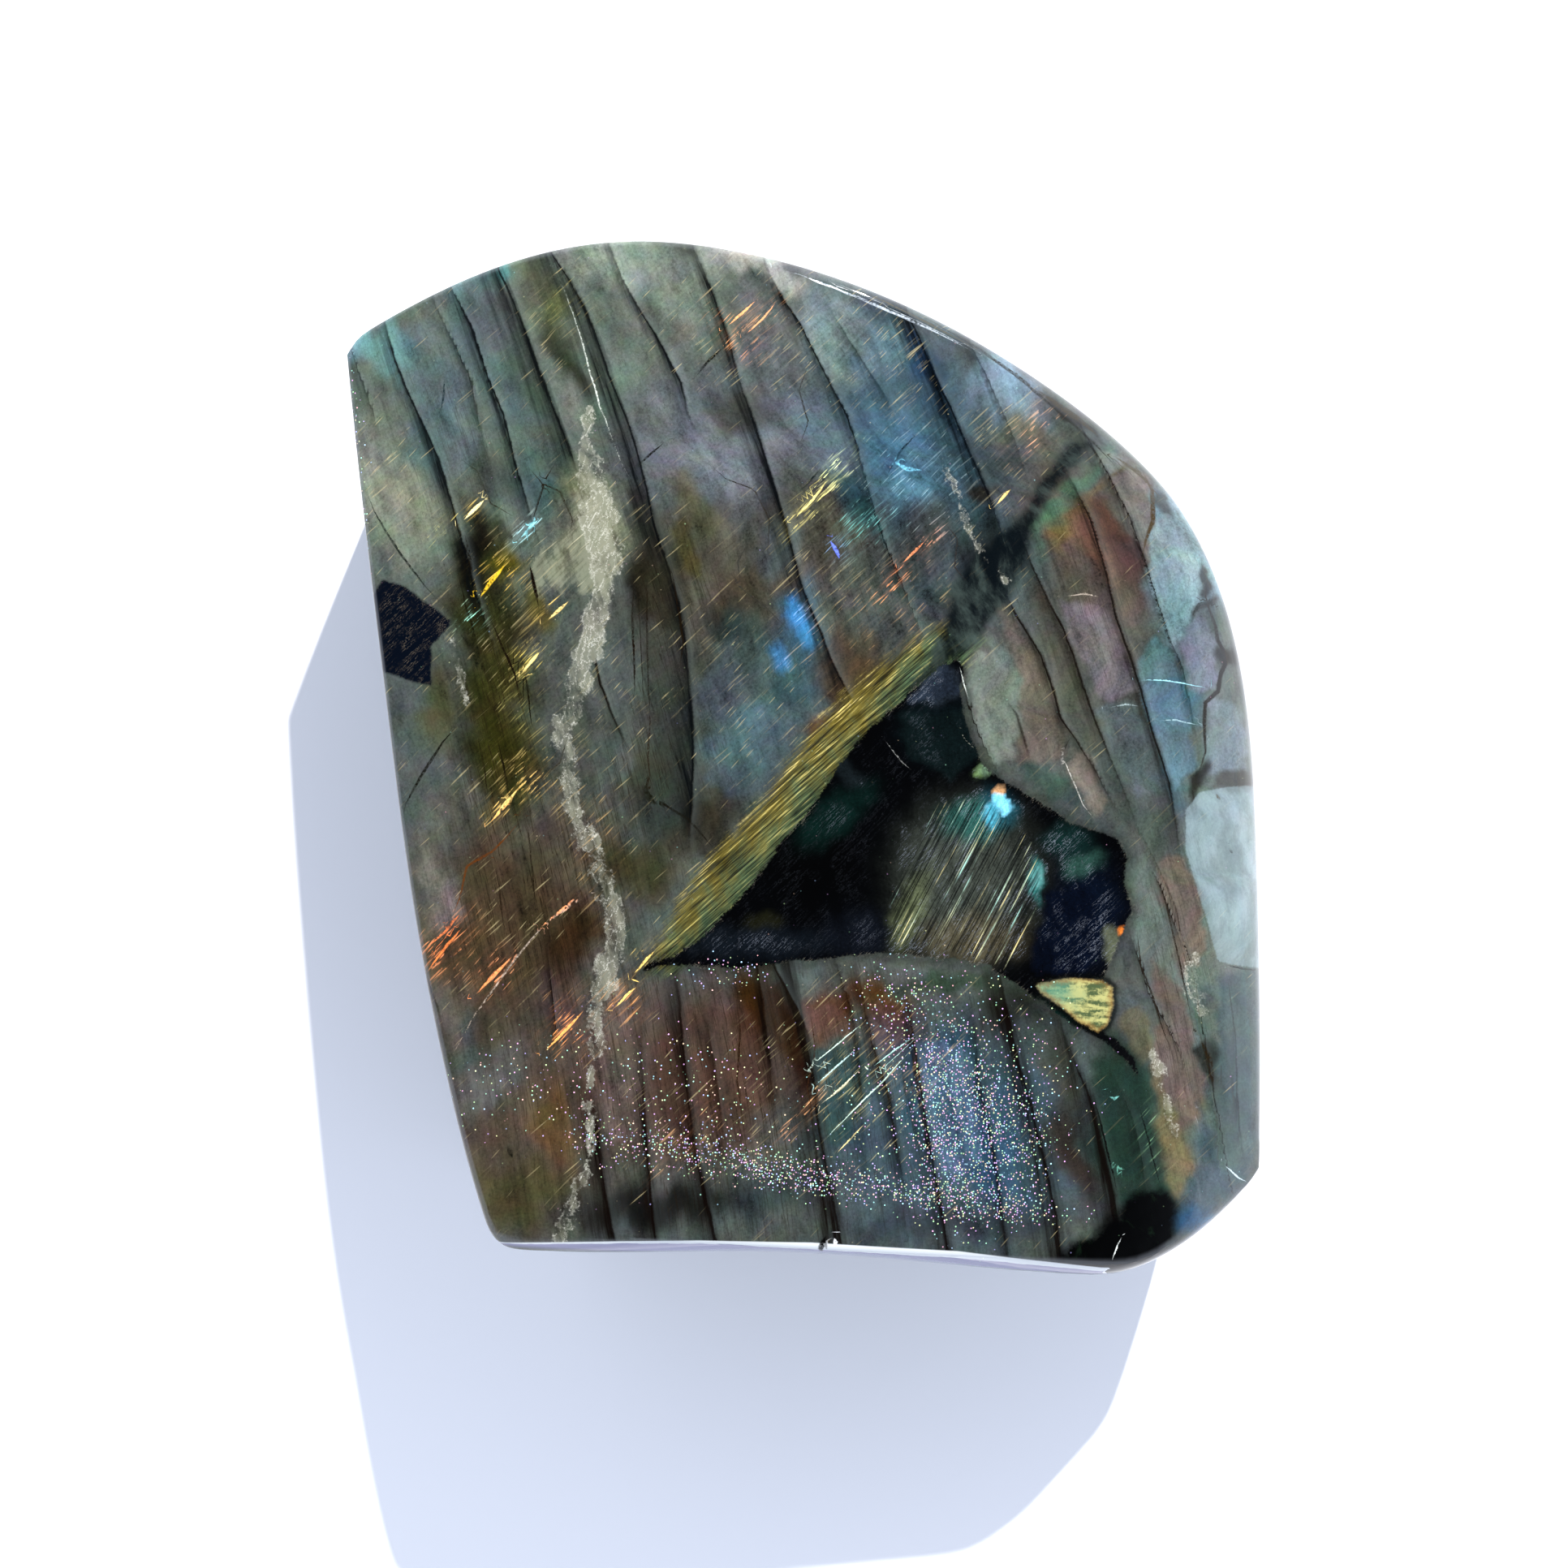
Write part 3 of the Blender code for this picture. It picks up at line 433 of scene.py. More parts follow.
rightCracks = [
    (0.4, [(15.7, 10.1, 0), (16.5, 8.0, 0.7), (17.4, 5.4, 0.7), (18.9, 2.3, 0.6), (20.4, -0.2, 0.3),
           (21.7, -2.4, 0)]),
    (0.4, [(20.7, 7.2, 0), (22.1, 5.7, 0.5), (23.2, 2.7, 0.5), (23.9, 0.5, 0)]),
    (1.4, [(19.4, 19.4, 0), (20.7, 17.3, 0.6), (22.2, 15.1, 0.8), (24.1, 12.6, 0.8), (25.8, 8.7, 0.8),
           (26.8, 5.6, 0.7), (28.3, 3.9, 0.6), (31.1, 0.1, 0.6), (32.9, -2.9, 0.3), (34.5, -5.0, 0)]),
    (1.6, [(20.3, 26.5, 0), (20.7, 25.4, 0.3), (22.5, 21.9, 0.6), (24.4, 18.5, 0.6),
           (26.4, 15.3, 0.7), (28.5, 10.3, 0.7), (30.9, 4.7, 0.6), (34.3, -2.2, 0.3), (35.9, -5.8, 0)]),
    (1.6, [(24.4, 33.6, 0), (25.8, 32.1, 0.4), (28.4, 27.7, 0.8), (30.2, 22.8, 0.9),
           (31.7, 17.8, 0.9), (33.5, 13.6, 0.9), (35.2, 9.4, 0.9), (37.0, 4.3, 0.9),
           (39.0, -0.4, 0.7), (40.4, -6.7, 0.4), (41.4, -10.8, 0)]),
    (1.1, [(25.8, 39.4, 0), (26.2, 38.3, 0.4), (29.7, 33.0, 0.7), (32.6, 28.1, 0.7),
           (34.8, 22.7, 0.8), (37.5, 15.9, 0.6), (39.2, 12.6, 0.5), (40.7, 7.5, 0.4), (41.9, 2.7, 0)]),
]
lowRightCracks = [
    (0.7, [(36.1, -17.4, 0), (37.3, -20.2, 0.7), (38.6, -23.7, 0.8), (41.0, -27.6, 0.7),
           (42.4, -30.2, 0.4), (43.5, -33.2, 0)]),
    (0.4, [(37.8, -10.0, 0), (39.0, -11.9, 0.7), (40.2, -14.7, 0.7), (41.4, -17.3, 0.5), (42.6, -19.9, 0)]),
    (1.0, [(35.5, -4.8, 0), (35.9, -5.8, 0.2), (38.3, -9.8, 0.3), (40.6, -14.1, 0.4),
           (42.2, -19.9, 0.8), (43.3, -25.1, 0.8), (45.0, -29.9, 0.9), (46.2, -34.8, 0.9),
           (47.2, -39.8, 0.7), (48.2, -47.5, 0.6), (48.8, -51.6, 0.2)]),
    (0.5, [(47.8, -25.8, 0), (48.3, -30.3, 0.4), (49.1, -37.4, 0.5), (50.1, -42.7, 0)]),
]
footCracks = [
    (0.8, [(-26.1, -18.9, 0), (-25.4, -24.1, 0.7), (-24.2, -32.0, 0.6), (-23.5, -35.4, 0)]),
    (1.6, [(-20.6, -36.9, 0), (-19.3, -40.3, 0.5), (-17.9, -46.9, 0.9), (-16.1, -53.3, 1),
           (-15.2, -56.4, 1)]),
    (0.7, [(-15.7, -26.5, 0), (-14.9, -33.9, 0.4), (-14.1, -39.4, 0.6), (-13.0, -45.9, 0.7),
           (-11.7, -53.0, 0.8), (-11.1, -56.1, 0.8)]),
    (1.2, [(-12.8, -20.6, 0), (-12.0, -24.1, 0.3), (-11.3, -28.4, 0.6), (-9.9, -36.4, 0.8),
           (-8.3, -43.6, 0.9), (-5.5, -52.0, 1), (-4.4, -55.7, 1)]),
    (0.6, [(-8.5, -29.1, 0), (-7.5, -33.4, 0.5), (-5.6, -41.4, 0.4), (-4.9, -44.5, 0)]),
    (0.8, [(-4.0, -21.6, 0), (-3.6, -22.6, 0.5), (-2.7, -27.0, 0.6), (-1.6, -33.0, 0.6),
           (-0.7, -37.3, 0.5), (0.3, -41.6, 0)]),
    (2.0, [(-0.9, -21.4, 0), (-0.5, -22.4, 0.8), (1.3, -29.0, 0.9), (3.3, -34.8, 1), (4.6, -41.0, 1),
           (6.5, -47.2, 1), (7.9, -52.1, 1), (8.7, -54.9, 1)]),
    (0.6, [(4.6, -21.9, 0), (5.1, -22.9, 0.4), (6.8, -27.2, 0.5), (8.0, -32.4, 0.5),
           (9.0, -39.6, 0.3), (9.9, -43.6, 0)]),
    (0.8, [(6.4, -21.8, 0), (6.8, -22.8, 0.3), (9.2, -31.0, 0.6), (11.4, -36.4, 0.7),
           (13.5, -44.3, 0.5), (15.0, -49.4, 0)]),
    (1.0, [(12.0, -23.4, 0), (13.2, -28.6, 0.6), (14.6, -34.7, 0.9), (16.1, -41.2, 0.9),
           (17.8, -47.4, 0.8), (18.9, -51.6, 0.8), (19.5, -54.4, 0.6)]),
    (0.7, [(18.9, -23.8, 0), (20.1, -29.1, 0.4), (20.9, -34.3, 0.5), (22.6, -40.3, 0.6),
           (23.9, -45.5, 0.6), (25.1, -51.5, 0.5)]),
    (1.8, [(21.7, -21.3, 0), (22.1, -22.3, 0.4), (24.2, -30.2, 0.9), (26.4, -36.4, 1),
           (28.5, -42.7, 1), (30.3, -48.7, 1), (31.2, -53.9, 0.9)]),
    (1.4, [(28.3, -25.8, 0), (28.7, -26.8, 0.4), (31.0, -32.0, 0.6), (32.8, -35.5, 0.8),
           (34.2, -40.3, 0.8), (36.1, -45.9, 0.8), (37.2, -51.1, 0.5)]),
    (0.8, [(34.3, -31.8, 0), (37.5, -37.9, 0.3), (39.0, -43.1, 0.4), (39.9, -48.3, 0)]),
]

# outlines of inclusions, in mm
shapes = {
    "wedge": [(15.2, 11.3), (13.6, 10.5), (12.0, 8.6), (8.9, 5.3), (6.5, 3.0), (4.3, -0.2),
        (2.5, -3.3), (0.7, -6.9), (-2.0, -10.4), (-4.6, -14.9), (-6.9, -17.6), (-9.6, -21.2),
        (-12.4, -23.0), (-14.8, -24.0), (-16.2, -25.2), (-13.8, -24.2), (-9.3, -23.8),
        (-5.5, -24.0), (-1.0, -23.0), (5.2, -22.0), (8.5, -21.3), (11.0, -21.1), (14.3, -21.2),
        (18.6, -21.5), (21.1, -21.8), (23.7, -23.3), (25.5, -24.5), (27.3, -25.6), (30.0, -27.4),
        (32.6, -28.8), (34.7, -29.9), (37.0, -31.8), (38.2, -33.4), (37.6, -31.2), (35.3, -28.9),
        (32.7, -27.6), (29.4, -26.1), (26.8, -24.6), (26.3, -23.5), (29.6, -22.6), (33.4, -22.6),
        (33.9, -21.2), (35.2, -17.4), (36.0, -14.8), (35.1, -12.2), (35.2, -9.2), (34.0, -7.1),
        (31.4, -6.4), (28.4, -5.7), (26.2, -4.2), (23.9, -3.0), (21.2, -1.5), (19.0, -0.1),
        (17.8, 2.3), (16.6, 4.7), (15.9, 8.1), (16.1, 10.2)],
    "band": [(18.0, 13.5), (16.7, 10.7), (14.6, 9.4), (13.0, 7.5), (7.9, 1.8), (3.9, -4.5),
        (0.6, -9.7), (-3.1, -14.3), (-6.3, -19.6), (-8.8, -23.0), (-12.5, -25.3), (-15.1, -25.3),
        (-14.5, -22.0), (-12.7, -17.6), (-10.5, -13.3), (-7.5, -9.7), (-4.4, -5.8), (-1.5, -0.5),
        (0.8, 3.2), (4.5, 7.5), (9.1, 12.3), (13.9, 15.4)],
    "diagonal": [(27.7, 36.6), (25.8, 33.7), (23.5, 30.3), (22.3, 27.0), (21.7, 22.8), (20.2, 18.6),
        (17.5, 14.7), (15.7, 11.9), (14.1, 10.5), (12.2, 9.0), (11.1, 8.3), (12.7, 11.4),
        (13.7, 15.4), (14.4, 19.8), (16.5, 23.3), (18.9, 25.7), (21.1, 28.0), (22.6, 31.5),
        (24.3, 34.4), (25.9, 36.5)],
    "window": [(14.0, -5.0), (17.5, -4.1), (19.8, -3.8), (21.6, -5.7), (24.0, -7.4), (25.9, -10.2),
        (25.9, -14.5), (24.9, -19.7), (23.1, -22.0), (18.7, -21.2), (14.3, -20.4), (10.5, -20.1),
        (10.4, -16.4), (11.1, -12.0), (13.0, -8.6)],
    "shell": [(26.3, -23.6), (29.6, -22.7), (33.4, -22.7), (34.7, -23.5), (35.0, -25.2),
        (34.4, -27.8), (33.4, -28.6), (31.2, -27.5), (29.4, -26.0), (27.2, -24.8)],
    "patch": [(-48.2, 15.7), (-45.4, 15.0), (-39.5, 11.3), (-41.7, 8.7), (-41.2, 4.2),
        (-44.2, 4.7), (-47.8, 5.6), (-50.4, 10.4)],
    "block": [(-28.5, 28.7), (-26.1, 28.7), (-24.4, 27.3), (-22.8, 24.6), (-21.9, 21.8),
        (-21.5, 19.5), (-22.4, 16.7), (-22.7, 14.4), (-23.9, 15.7), (-27.3, 14.7), (-30.4, 14.5),
        (-31.7, 18.1), (-30.7, 20.6), (-28.7, 21.4), (-28.1, 24.9)],
    "corner": [(31.0, -52.4), (34.2, -50.4), (36.8, -48.4), (37.8, -46.7), (39.9, -45.0),
        (42.3, -45.3), (43.3, -46.5), (43.5, -49.8), (42.4, -52.2), (42.2, -54.9), (34.3, -55.6),
        (30.8, -54.4)],
    "slab": [(41.1, -3.5), (42.5, -1.4), (45.3, -0.6), (49.7, 0.1), (52.1, -21.0), (45.8, -20.0),
        (44.2, -15.2), (41.5, -8.1)],
}

# pale veins: x, y and half width in mm along each
veins = [
    [(-27.0, 35.8, 0.2), (-27.1, 32.2, 0.7), (-26.3, 28.1, 1.2), (-25.1, 24.6, 1.7),
     (-23.8, 21.5, 1.8), (-23.0, 19.3, 1.5), (-23.4, 16.6, 1.1), (-23.9, 13.5, 1.4),
     (-24.3, 9.9, 1.5), (-25.4, 5.8, 1.1), (-26.0, 2.2, 1.1), (-26.7, 1.3, 1.1),
     (-26.1, -0.9, 0.9), (-25.2, -4.9, 0.7), (-24.4, -8.2, 0.8), (-22.9, -10.8, 1.0),
     (-21.4, -12.9, 1.0), (-20.2, -15.9, 0.9), (-19.1, -18.9, 1.2), (-18.3, -21.7, 1.2),
     (-19.3, -25.0, 1.5), (-19.9, -28.6, 1.0), (-19.9, -31.6, 0.8), (-20.0, -35.1, 0.5),
     (-19.9, -39.4, 0.25), (-19.2, -44.6, 0.25), (-19.8, -47.3, 0.5), (-21.0, -50.7, 0.9),
     (-21.8, -54.0, 1.0)],
    [(11.3, 34.1, 0.1), (13.6, 29.6, 0.2), (15.5, 25.1, 0.2), (17.9, 22.3, 0.3),
     (20.1, 19.8, 0.1)],
    [(43.4, -19.7, 0.2), (43.0, -21.5, 0.6), (43.7, -23.7, 0.8), (44.4, -25.8, 0.3)],
    [(39.6, -30.7, 0.1), (40.5, -33.3, 0.15), (41.2, -36.0, 0.15), (42.6, -39.3, 0.1)],
    [(-39.4, 9.3, 0.3), (-38.5, 7.1, 0.5), (-37.4, 4.1, 0.6), (-37.0, 2.3, 0.2)],
]

# single lines and flecks, two of them painted highlights on the upper rim: half width in mm, strength,
# colour, then x and y along each
strokes = [
    (0.22, 0.9, (14, 16, 14), [(-13.1, 44.0), (-14.7, 42.2), (-16.0, 40.2)]),
    (0.18, 0.8, (22, 22, 18), [(-18.3, 32.9), (-20.0, 31.1), (-21.3, 29.6)]),
    (0.23, 0.8, (20, 20, 14), [(-37.6, 0.7), (-39.4, -1.8), (-41.4, -5.5), (-42.9, -8.7),
        (-43.1, -10.6)]),
    (0.18, 0.8, (30, 34, 30), [(-51.5, 25.7), (-49.4, 22.3), (-46.7, 18.8), (-43.0, 14.9),
        (-40.7, 13.0)]),
    (0.12, 0.6, (38, 38, 36), [(-9.7, 18.0), (-6.0, 15.6), (-2.8, 12.9)]),
    (0.12, 0.6, (38, 38, 36), [(-8.2, 22.4), (-9.2, 20.1), (-8.6, 17.5)]),
    (0.2, 0.8, (20, 18, 12), [(-17.5, -5.7), (-15.8, -6.3), (-12.3, -8.0), (-10.5, -9.6), (-8.5, -11.6)]),
    (0.18, 0.8, (80, 44, 16), [(-29.7, -9.3), (-32.8, -13.2), (-35.5, -14.9), (-36.0, -18.4),
        (-36.9, -21.2)]),
    (0.16, 0.8, (24, 30, 30), [(-3.4, 28.3), (-2.1, 29.9), (-1.0, 31.5)]),
    (0.16, 0.8, (22, 36, 44), [(5.7, 30.4), (7.2, 33.9), (9.2, 36.5)]),
    (0.14, 0.9, (30, 30, 24), [(46.5, -20.3), (48.5, -20.7), (50.8, -21.0)]),
    (0.32, 1.1, (30, 26, 18), [(41.0, 24.5), (41.4, 22.6), (41.4, 20.5), (42.7, 17.4), (43.1, 15.8),
        (44.3, 14.0), (43.8, 12.2), (43.6, 10.0), (42.4, 8.6), (42.4, 6.1), (42.8, 3.1),
        (42.0, 0.0), (41.4, -1.6)]),
    (0.36, 0.9, (60, 50, 34), [(33.1, 34.4), (34.7, 31.9), (35.1, 28.4), (34.4, 26.0), (34.3, 23.9)]),
    # painted highlight: a thin pale line of light along the upper rim
    (0.18, 0.5, (190, 200, 208), [(-8.5, 53.3), (-5.8, 52.8), (-3.5, 52.1), (1.1, 50.6), (5.7, 49.0),
        (10.3, 47.3), (14.5, 45.4)]),
    (0.14, 0.7, (70, 66, 52), [(-1.8, 52.4), (3.8, 50.5), (8.4, 48.6), (14.0, 46.2), (18.6, 43.9)]),
    (0.44, 0.9, (48, 42, 26), [(20.7, 42.4), (23.3, 40.8), (26.1, 39.1), (28.8, 37.1)]),
    (0.27, 0.8, (60, 54, 36), [(30.0, 35.5), (32.8, 33.9), (35.1, 31.9)]),
    (0.18, 0.8, (30, 30, 26), [(28.2, 3.8), (27.4, 2.1), (27.2, -0.2)]),
    (0.09, 0.4, (190, 186, 176), [(27.1, 2.1), (27.7, 0.8), (28.7, -1.1), (30.0, -3.7), (31.5, -5.4)]),
    (0.1, 0.5, (200, 206, 196), [(15.5, 10.6), (16.2, 8.7), (16.9, 6.9)]),
    (0.09, 0.35, (190, 190, 170), [(16.3, 3.3), (16.9, 2.5), (17.9, 1.6)]),
    (0.09, 0.25, (140, 140, 136), [(8.3, 1.8), (9.3, 0.7), (10.4, -0.5), (11.5, -1.3)]),
    (0.11, 0.45, (180, 166, 150), [(26.3, 19.1), (28.2, 19.6), (30.2, 19.4)]),
    (0.12, 0.55, (150, 166, 166), [(32.0, 7.2), (33.7, 7.7), (35.3, 7.6)]),
    (0.12, 0.5, (160, 190, 196), [(37.5, 6.2), (39.4, 6.4), (42.0, 6.0)]),
    (0.18, 0.8, (22, 16, 8), [(-20.2, 18.2), (-20.0, 13.3), (-19.2, 8.0), (-18.9, 3.6)]),
    (0.14, 0.8, (22, 16, 8), [(-18.9, 18.7), (-18.4, 13.4), (-17.7, 7.2), (-16.9, 1.1)]),
    (0.18, 0.8, (20, 14, 8), [(-35.9, 12.7), (-33.7, 8.8), (-32.2, 6.2), (-31.3, 3.4)]),
    (0.27, 0.9, (18, 12, 6), [(-31.9, 18.6), (-31.1, 16.1), (-30.2, 13.3)]),
    (0.27, 0.85, (18, 14, 8), [(-39.5, 21.4), (-38.5, 18.3), (-37.7, 15.5)]),
    (0.44, 0.85, (34, 26, 14), [(44.4, -28.5), (45.6, -30.8), (46.4, -34.4)]),
    (0.27, 0.75, (32, 32, 26), [(6.5, 50.0), (10.2, 48.2), (14.4, 46.2), (19.8, 42.8), (24.5, 39.3),
        (28.1, 36.4), (32.2, 32.7)]),
    (0.53, 0.8, (20, 20, 12), [(-17.1, -4.7), (-16.3, -6.4), (-15.2, -6.9)]),
    (0.62, 0.8, (14, 16, 10), [(-38.8, 10.2), (-36.8, 8.6), (-36.2, 6.0)]),
    (0.36, 0.8, (16, 16, 12), [(-28.3, -44.5), (-27.5, -45.8)]),
    (0.18, 0.7, (26, 38, 40), [(-43.8, 38.6), (-43.7, 36.2), (-43.8, 34.2)]),
    (0.27, 0.8, (20, 28, 24), [(40.1, 18.0), (40.9, 19.5), (42.1, 20.2)]),
    (0.16, 0.8, (20, 18, 8), [(-40.2, 18.2), (-38.6, 13.8), (-36.4, 8.6), (-34.7, 4.3)]),
    (0.14, 0.8, (20, 18, 8), [(-31.9, 8.9), (-30.6, 4.6), (-29.6, -0.2)]),
    (0.14, 0.8, (20, 18, 8), [(-33.7, -0.1), (-32.2, -4.4), (-31.1, -8.7)]),
    (0.14, 0.8, (24, 20, 10), [(-35.7, -0.2), (-34.7, -3.7), (-33.7, -7.6)]),
    (0.16, 0.8, (24, 18, 10), [(-16.5, 19.8), (-15.3, 15.4), (-14.2, 11.0), (-14.4, 7.5)]),
    (0.14, 0.75, (26, 20, 12), [(-29.3, -9.5), (-28.3, -14.7), (-27.6, -19.0)]),
    (0.12, 0.7, (30, 22, 14), [(-32.4, -14.1), (-31.5, -18.4), (-30.6, -22.8)]),
    (0.12, 0.7, (34, 26, 18), [(-17.1, 2.8), (-16.9, -1.6), (-16.2, -5.5)]),
    (0.14, 0.8, (30, 24, 14), [(-33.4, 29.3), (-31.4, 27.2), (-29.3, 26.5), (-27.6, 23.5),
        (-27.8, 21.0)]),
    (0.14, 0.8, (26, 20, 10), [(-29.8, 30.6), (-31.1, 27.8), (-31.7, 24.9), (-32.4, 21.4)]),
    (0.12, 0.7, (36, 32, 26), [(-14.1, 31.2), (-11.4, 29.2), (-8.1, 28.2), (-6.2, 25.0), (-6.0, 19.7)]),
    (0.12, 0.7, (36, 32, 26), [(-3.5, 43.5), (-4.5, 39.7), (-3.1, 36.2), (-4.1, 32.5)]),
    (0.12, 0.7, (34, 32, 24), [(-41.6, 29.9), (-38.8, 28.2), (-36.9, 24.7), (-33.5, 23.1)]),
    (0.12, 0.7, (34, 30, 22), [(-25.7, 0.5), (-26.3, -3.1), (-28.4, -5.0), (-30.5, -5.3)]),
    (0.13, 0.75, (44, 28, 18), [(2.5, -27.5), (3.5, -31.8), (3.0, -36.2), (4.0, -39.6)]),
    (0.13, 0.75, (34, 22, 12), [(-5.6, -25.4), (-4.6, -30.6), (-4.5, -35.8), (-3.3, -40.9)]),
    (0.12, 0.7, (40, 34, 30), [(12.3, 26.5), (14.2, 24.5), (14.1, 21.3), (16.0, 19.6)]),
    (0.12, 0.7, (40, 44, 40), [(46.9, -21.3), (47.7, -25.3), (48.5, -29.4)]),
    (0.11, 0.6, (50, 54, 50), [(47.9, -32.1), (48.6, -35.3), (49.1, -38.3)]),
    (0.18, 0.9, (24, 20, 14), [(46.1, -7.5), (46.3, -7.7), (46.5, -8.0)]),
    (0.21, 0.8, (60, 48, 30), [(44.2, -1.4), (44.5, -1.8), (44.8, -2.1)]),
    (0.14, 0.8, (30, 24, 16), [(36.7, -16.2), (37.4, -20.6), (39.0, -24.3), (40.5, -28.1),
        (41.7, -30.8)]),
    (0.14, 0.8, (34, 28, 20), [(38.5, -10.6), (39.7, -13.8), (41.0, -18.0), (42.3, -22.6),
        (43.6, -27.1)]),
    (0.16, 0.85, (12, 12, 10), [(33.2, -34.6), (34.9, -39.8), (36.3, -44.1), (37.2, -46.9)]),
    (0.14, 0.8, (12, 14, 12), [(38.0, -35.2), (39.3, -38.7), (40.7, -43.0), (41.7, -45.6)]),
    (0.18, 0.42, (110, 176, 166), [(35.1, -35.4), (35.7, -35.7), (36.3, -35.3)]),
    (0.16, 0.38, (100, 160, 140), [(36.4, -42.7), (36.9, -43.2), (37.5, -43.3)]),
    (0.12, 0.42, (196, 202, 190), [(-33.1, 51.3), (-31.6, 49.2), (-30.0, 46.1), (-28.7, 43.1),
        (-27.5, 39.9), (-26.7, 38.2), (-26.0, 36.2), (-25.2, 34.8), (-24.3, 32.8), (-23.0, 30.3),
        (-21.1, 27.5)]),
    (0.13, 0.42, (176, 158, 140), [(-22.0, -17.1), (-26.7, -20.8), (-29.7, -25.1), (-33.4, -31.0),
        (-35.9, -36.5)]),
    (0.23, 0.95, (255, 150, 90), [(-33.4, -28.7), (-31.6, -26.5), (-29.6, -24.2)]),
    (0.2, 0.9, (226, 120, 64), [(-38.9, -26.5), (-37.3, -24.1), (-35.4, -21.5)]),
    (0.16, 0.85, (214, 112, 64), [(-39.0, -23.9), (-37.3, -22.2), (-35.7, -20.0)]),
    (0.16, 0.9, (235, 146, 96), [(-26.9, -21.0), (-25.2, -19.4), (-23.6, -17.7)]),
    (0.21, 0.95, (244, 166, 90), [(-25.4, -34.3), (-23.3, -31.9), (-21.3, -29.4)]),
    (0.18, 0.9, (240, 196, 110), [(-18.1, -29.1), (-17.1, -27.8), (-15.9, -26.5)]),
    (0.28, 1, (250, 230, 160), [(-39.8, 22.6), (-38.7, 23.9), (-37.6, 25.2)]),
    (0.3, 0.95, (236, 190, 50), [(-37.0, 14.1), (-35.8, 16.2), (-34.4, 18.2)]),
    (0.23, 0.9, (250, 220, 130), [(-31.4, 6.4), (-30.5, 7.6), (-29.6, 8.9)]),
    (0.25, 0.9, (250, 214, 130), [(-29.2, 12.3), (-28.1, 13.4), (-27.0, 14.6)]),
    (0.21, 0.9, (244, 206, 120), [(-32.6, -8.8), (-31.6, -7.5), (-30.5, -6.2)]),
    (0.21, 0.9, (245, 176, 100), [(-33.3, -10.1), (-32.2, -8.6), (-31.2, -7.5)]),
    (0.1, 0.8, (150, 205, 214), [(34.9, 10.5), (37.3, 10.7), (39.6, 10.6), (42.7, 10.2)]),
    (0.12, 0.8, (176, 190, 194), [(48.1, -42.4), (49.4, -43.6), (50.7, -44.6)]),
    (0.1, 0.9, (200, 205, 200), [(37.7, -50.5), (37.2, -51.8), (36.8, -53.2)]),
    (0.09, 0.8, (200, 222, 204), [(3.0, -34.1), (5.7, -31.5), (8.4, -28.9)]),
    (0.12, 0.8, (180, 214, 206), [(3.8, -36.0), (5.9, -33.8), (7.9, -31.7)]),
    (0.12, 0.75, (214, 206, 170), [(4.5, -38.0), (6.6, -36.0), (8.6, -33.8)]),
    (0.1, 0.8, (190, 216, 196), [(5.1, -42.0), (8.0, -38.5), (10.7, -35.4), (14.4, -30.5)]),
    (0.1, 0.8, (226, 206, 140), [(6.7, -43.1), (8.1, -41.4), (9.5, -39.6)]),
    (0.1, 0.75, (170, 214, 200), [(9.7, -33.7), (11.9, -31.7), (14.3, -29.7)]),
    (0.2, 0.9, (238, 200, 110), [(-16.4, -25.3), (-15.4, -24.0), (-14.2, -22.5)]),
    (0.27, 0.7, (104, 124, 236), [(0.4, 23.2), (1.2, 22.3), (1.8, 21.2)]),
    (0.44, 0.95, (10, 9, 8), [(6.5, -51.7), (6.1, -52.8), (5.8, -53.9)]),
    (0.27, 0.9, (226, 228, 230), [(7.3, -52.0), (7.5, -52.5), (7.4, -53.0)]),
    (0.27, 0.7, (116, 190, 216), [(6.4, 32.6), (8.1, 31.8), (9.8, 31.8)]),
    (0.18, 0.9, (255, 170, 110), [(-13.1, 46.3), (-11.8, 47.7), (-10.2, 49.5)]),
    (0.14, 0.9, (240, 160, 110), [(-11.0, 45.5), (-9.2, 47.5), (-8.0, 49.5)]),
    (0.2, 0.9, (250, 150, 100), [(8.5, 21.3), (9.6, 22.7), (10.7, 24.0)]),
    (0.18, 0.8, (232, 214, 130), [(-3.6, 25.2), (-1.9, 27.5), (-0.2, 30.2)]),
    (0.18, 0.7, (150, 230, 236), [(-33.2, 21.0), (-32.3, 22.3), (-31.3, 23.3)]),
    (0.21, 0.9, (236, 200, 120), [(18.0, 28.7), (18.7, 29.6), (19.5, 30.6)]),
    # painted highlight: the brightest white glint on the upper rim
    (0.18, 0.9, (252, 252, 254), [(-5.2, 52.6), (-2.9, 51.9), (-0.7, 51.2)]),
]

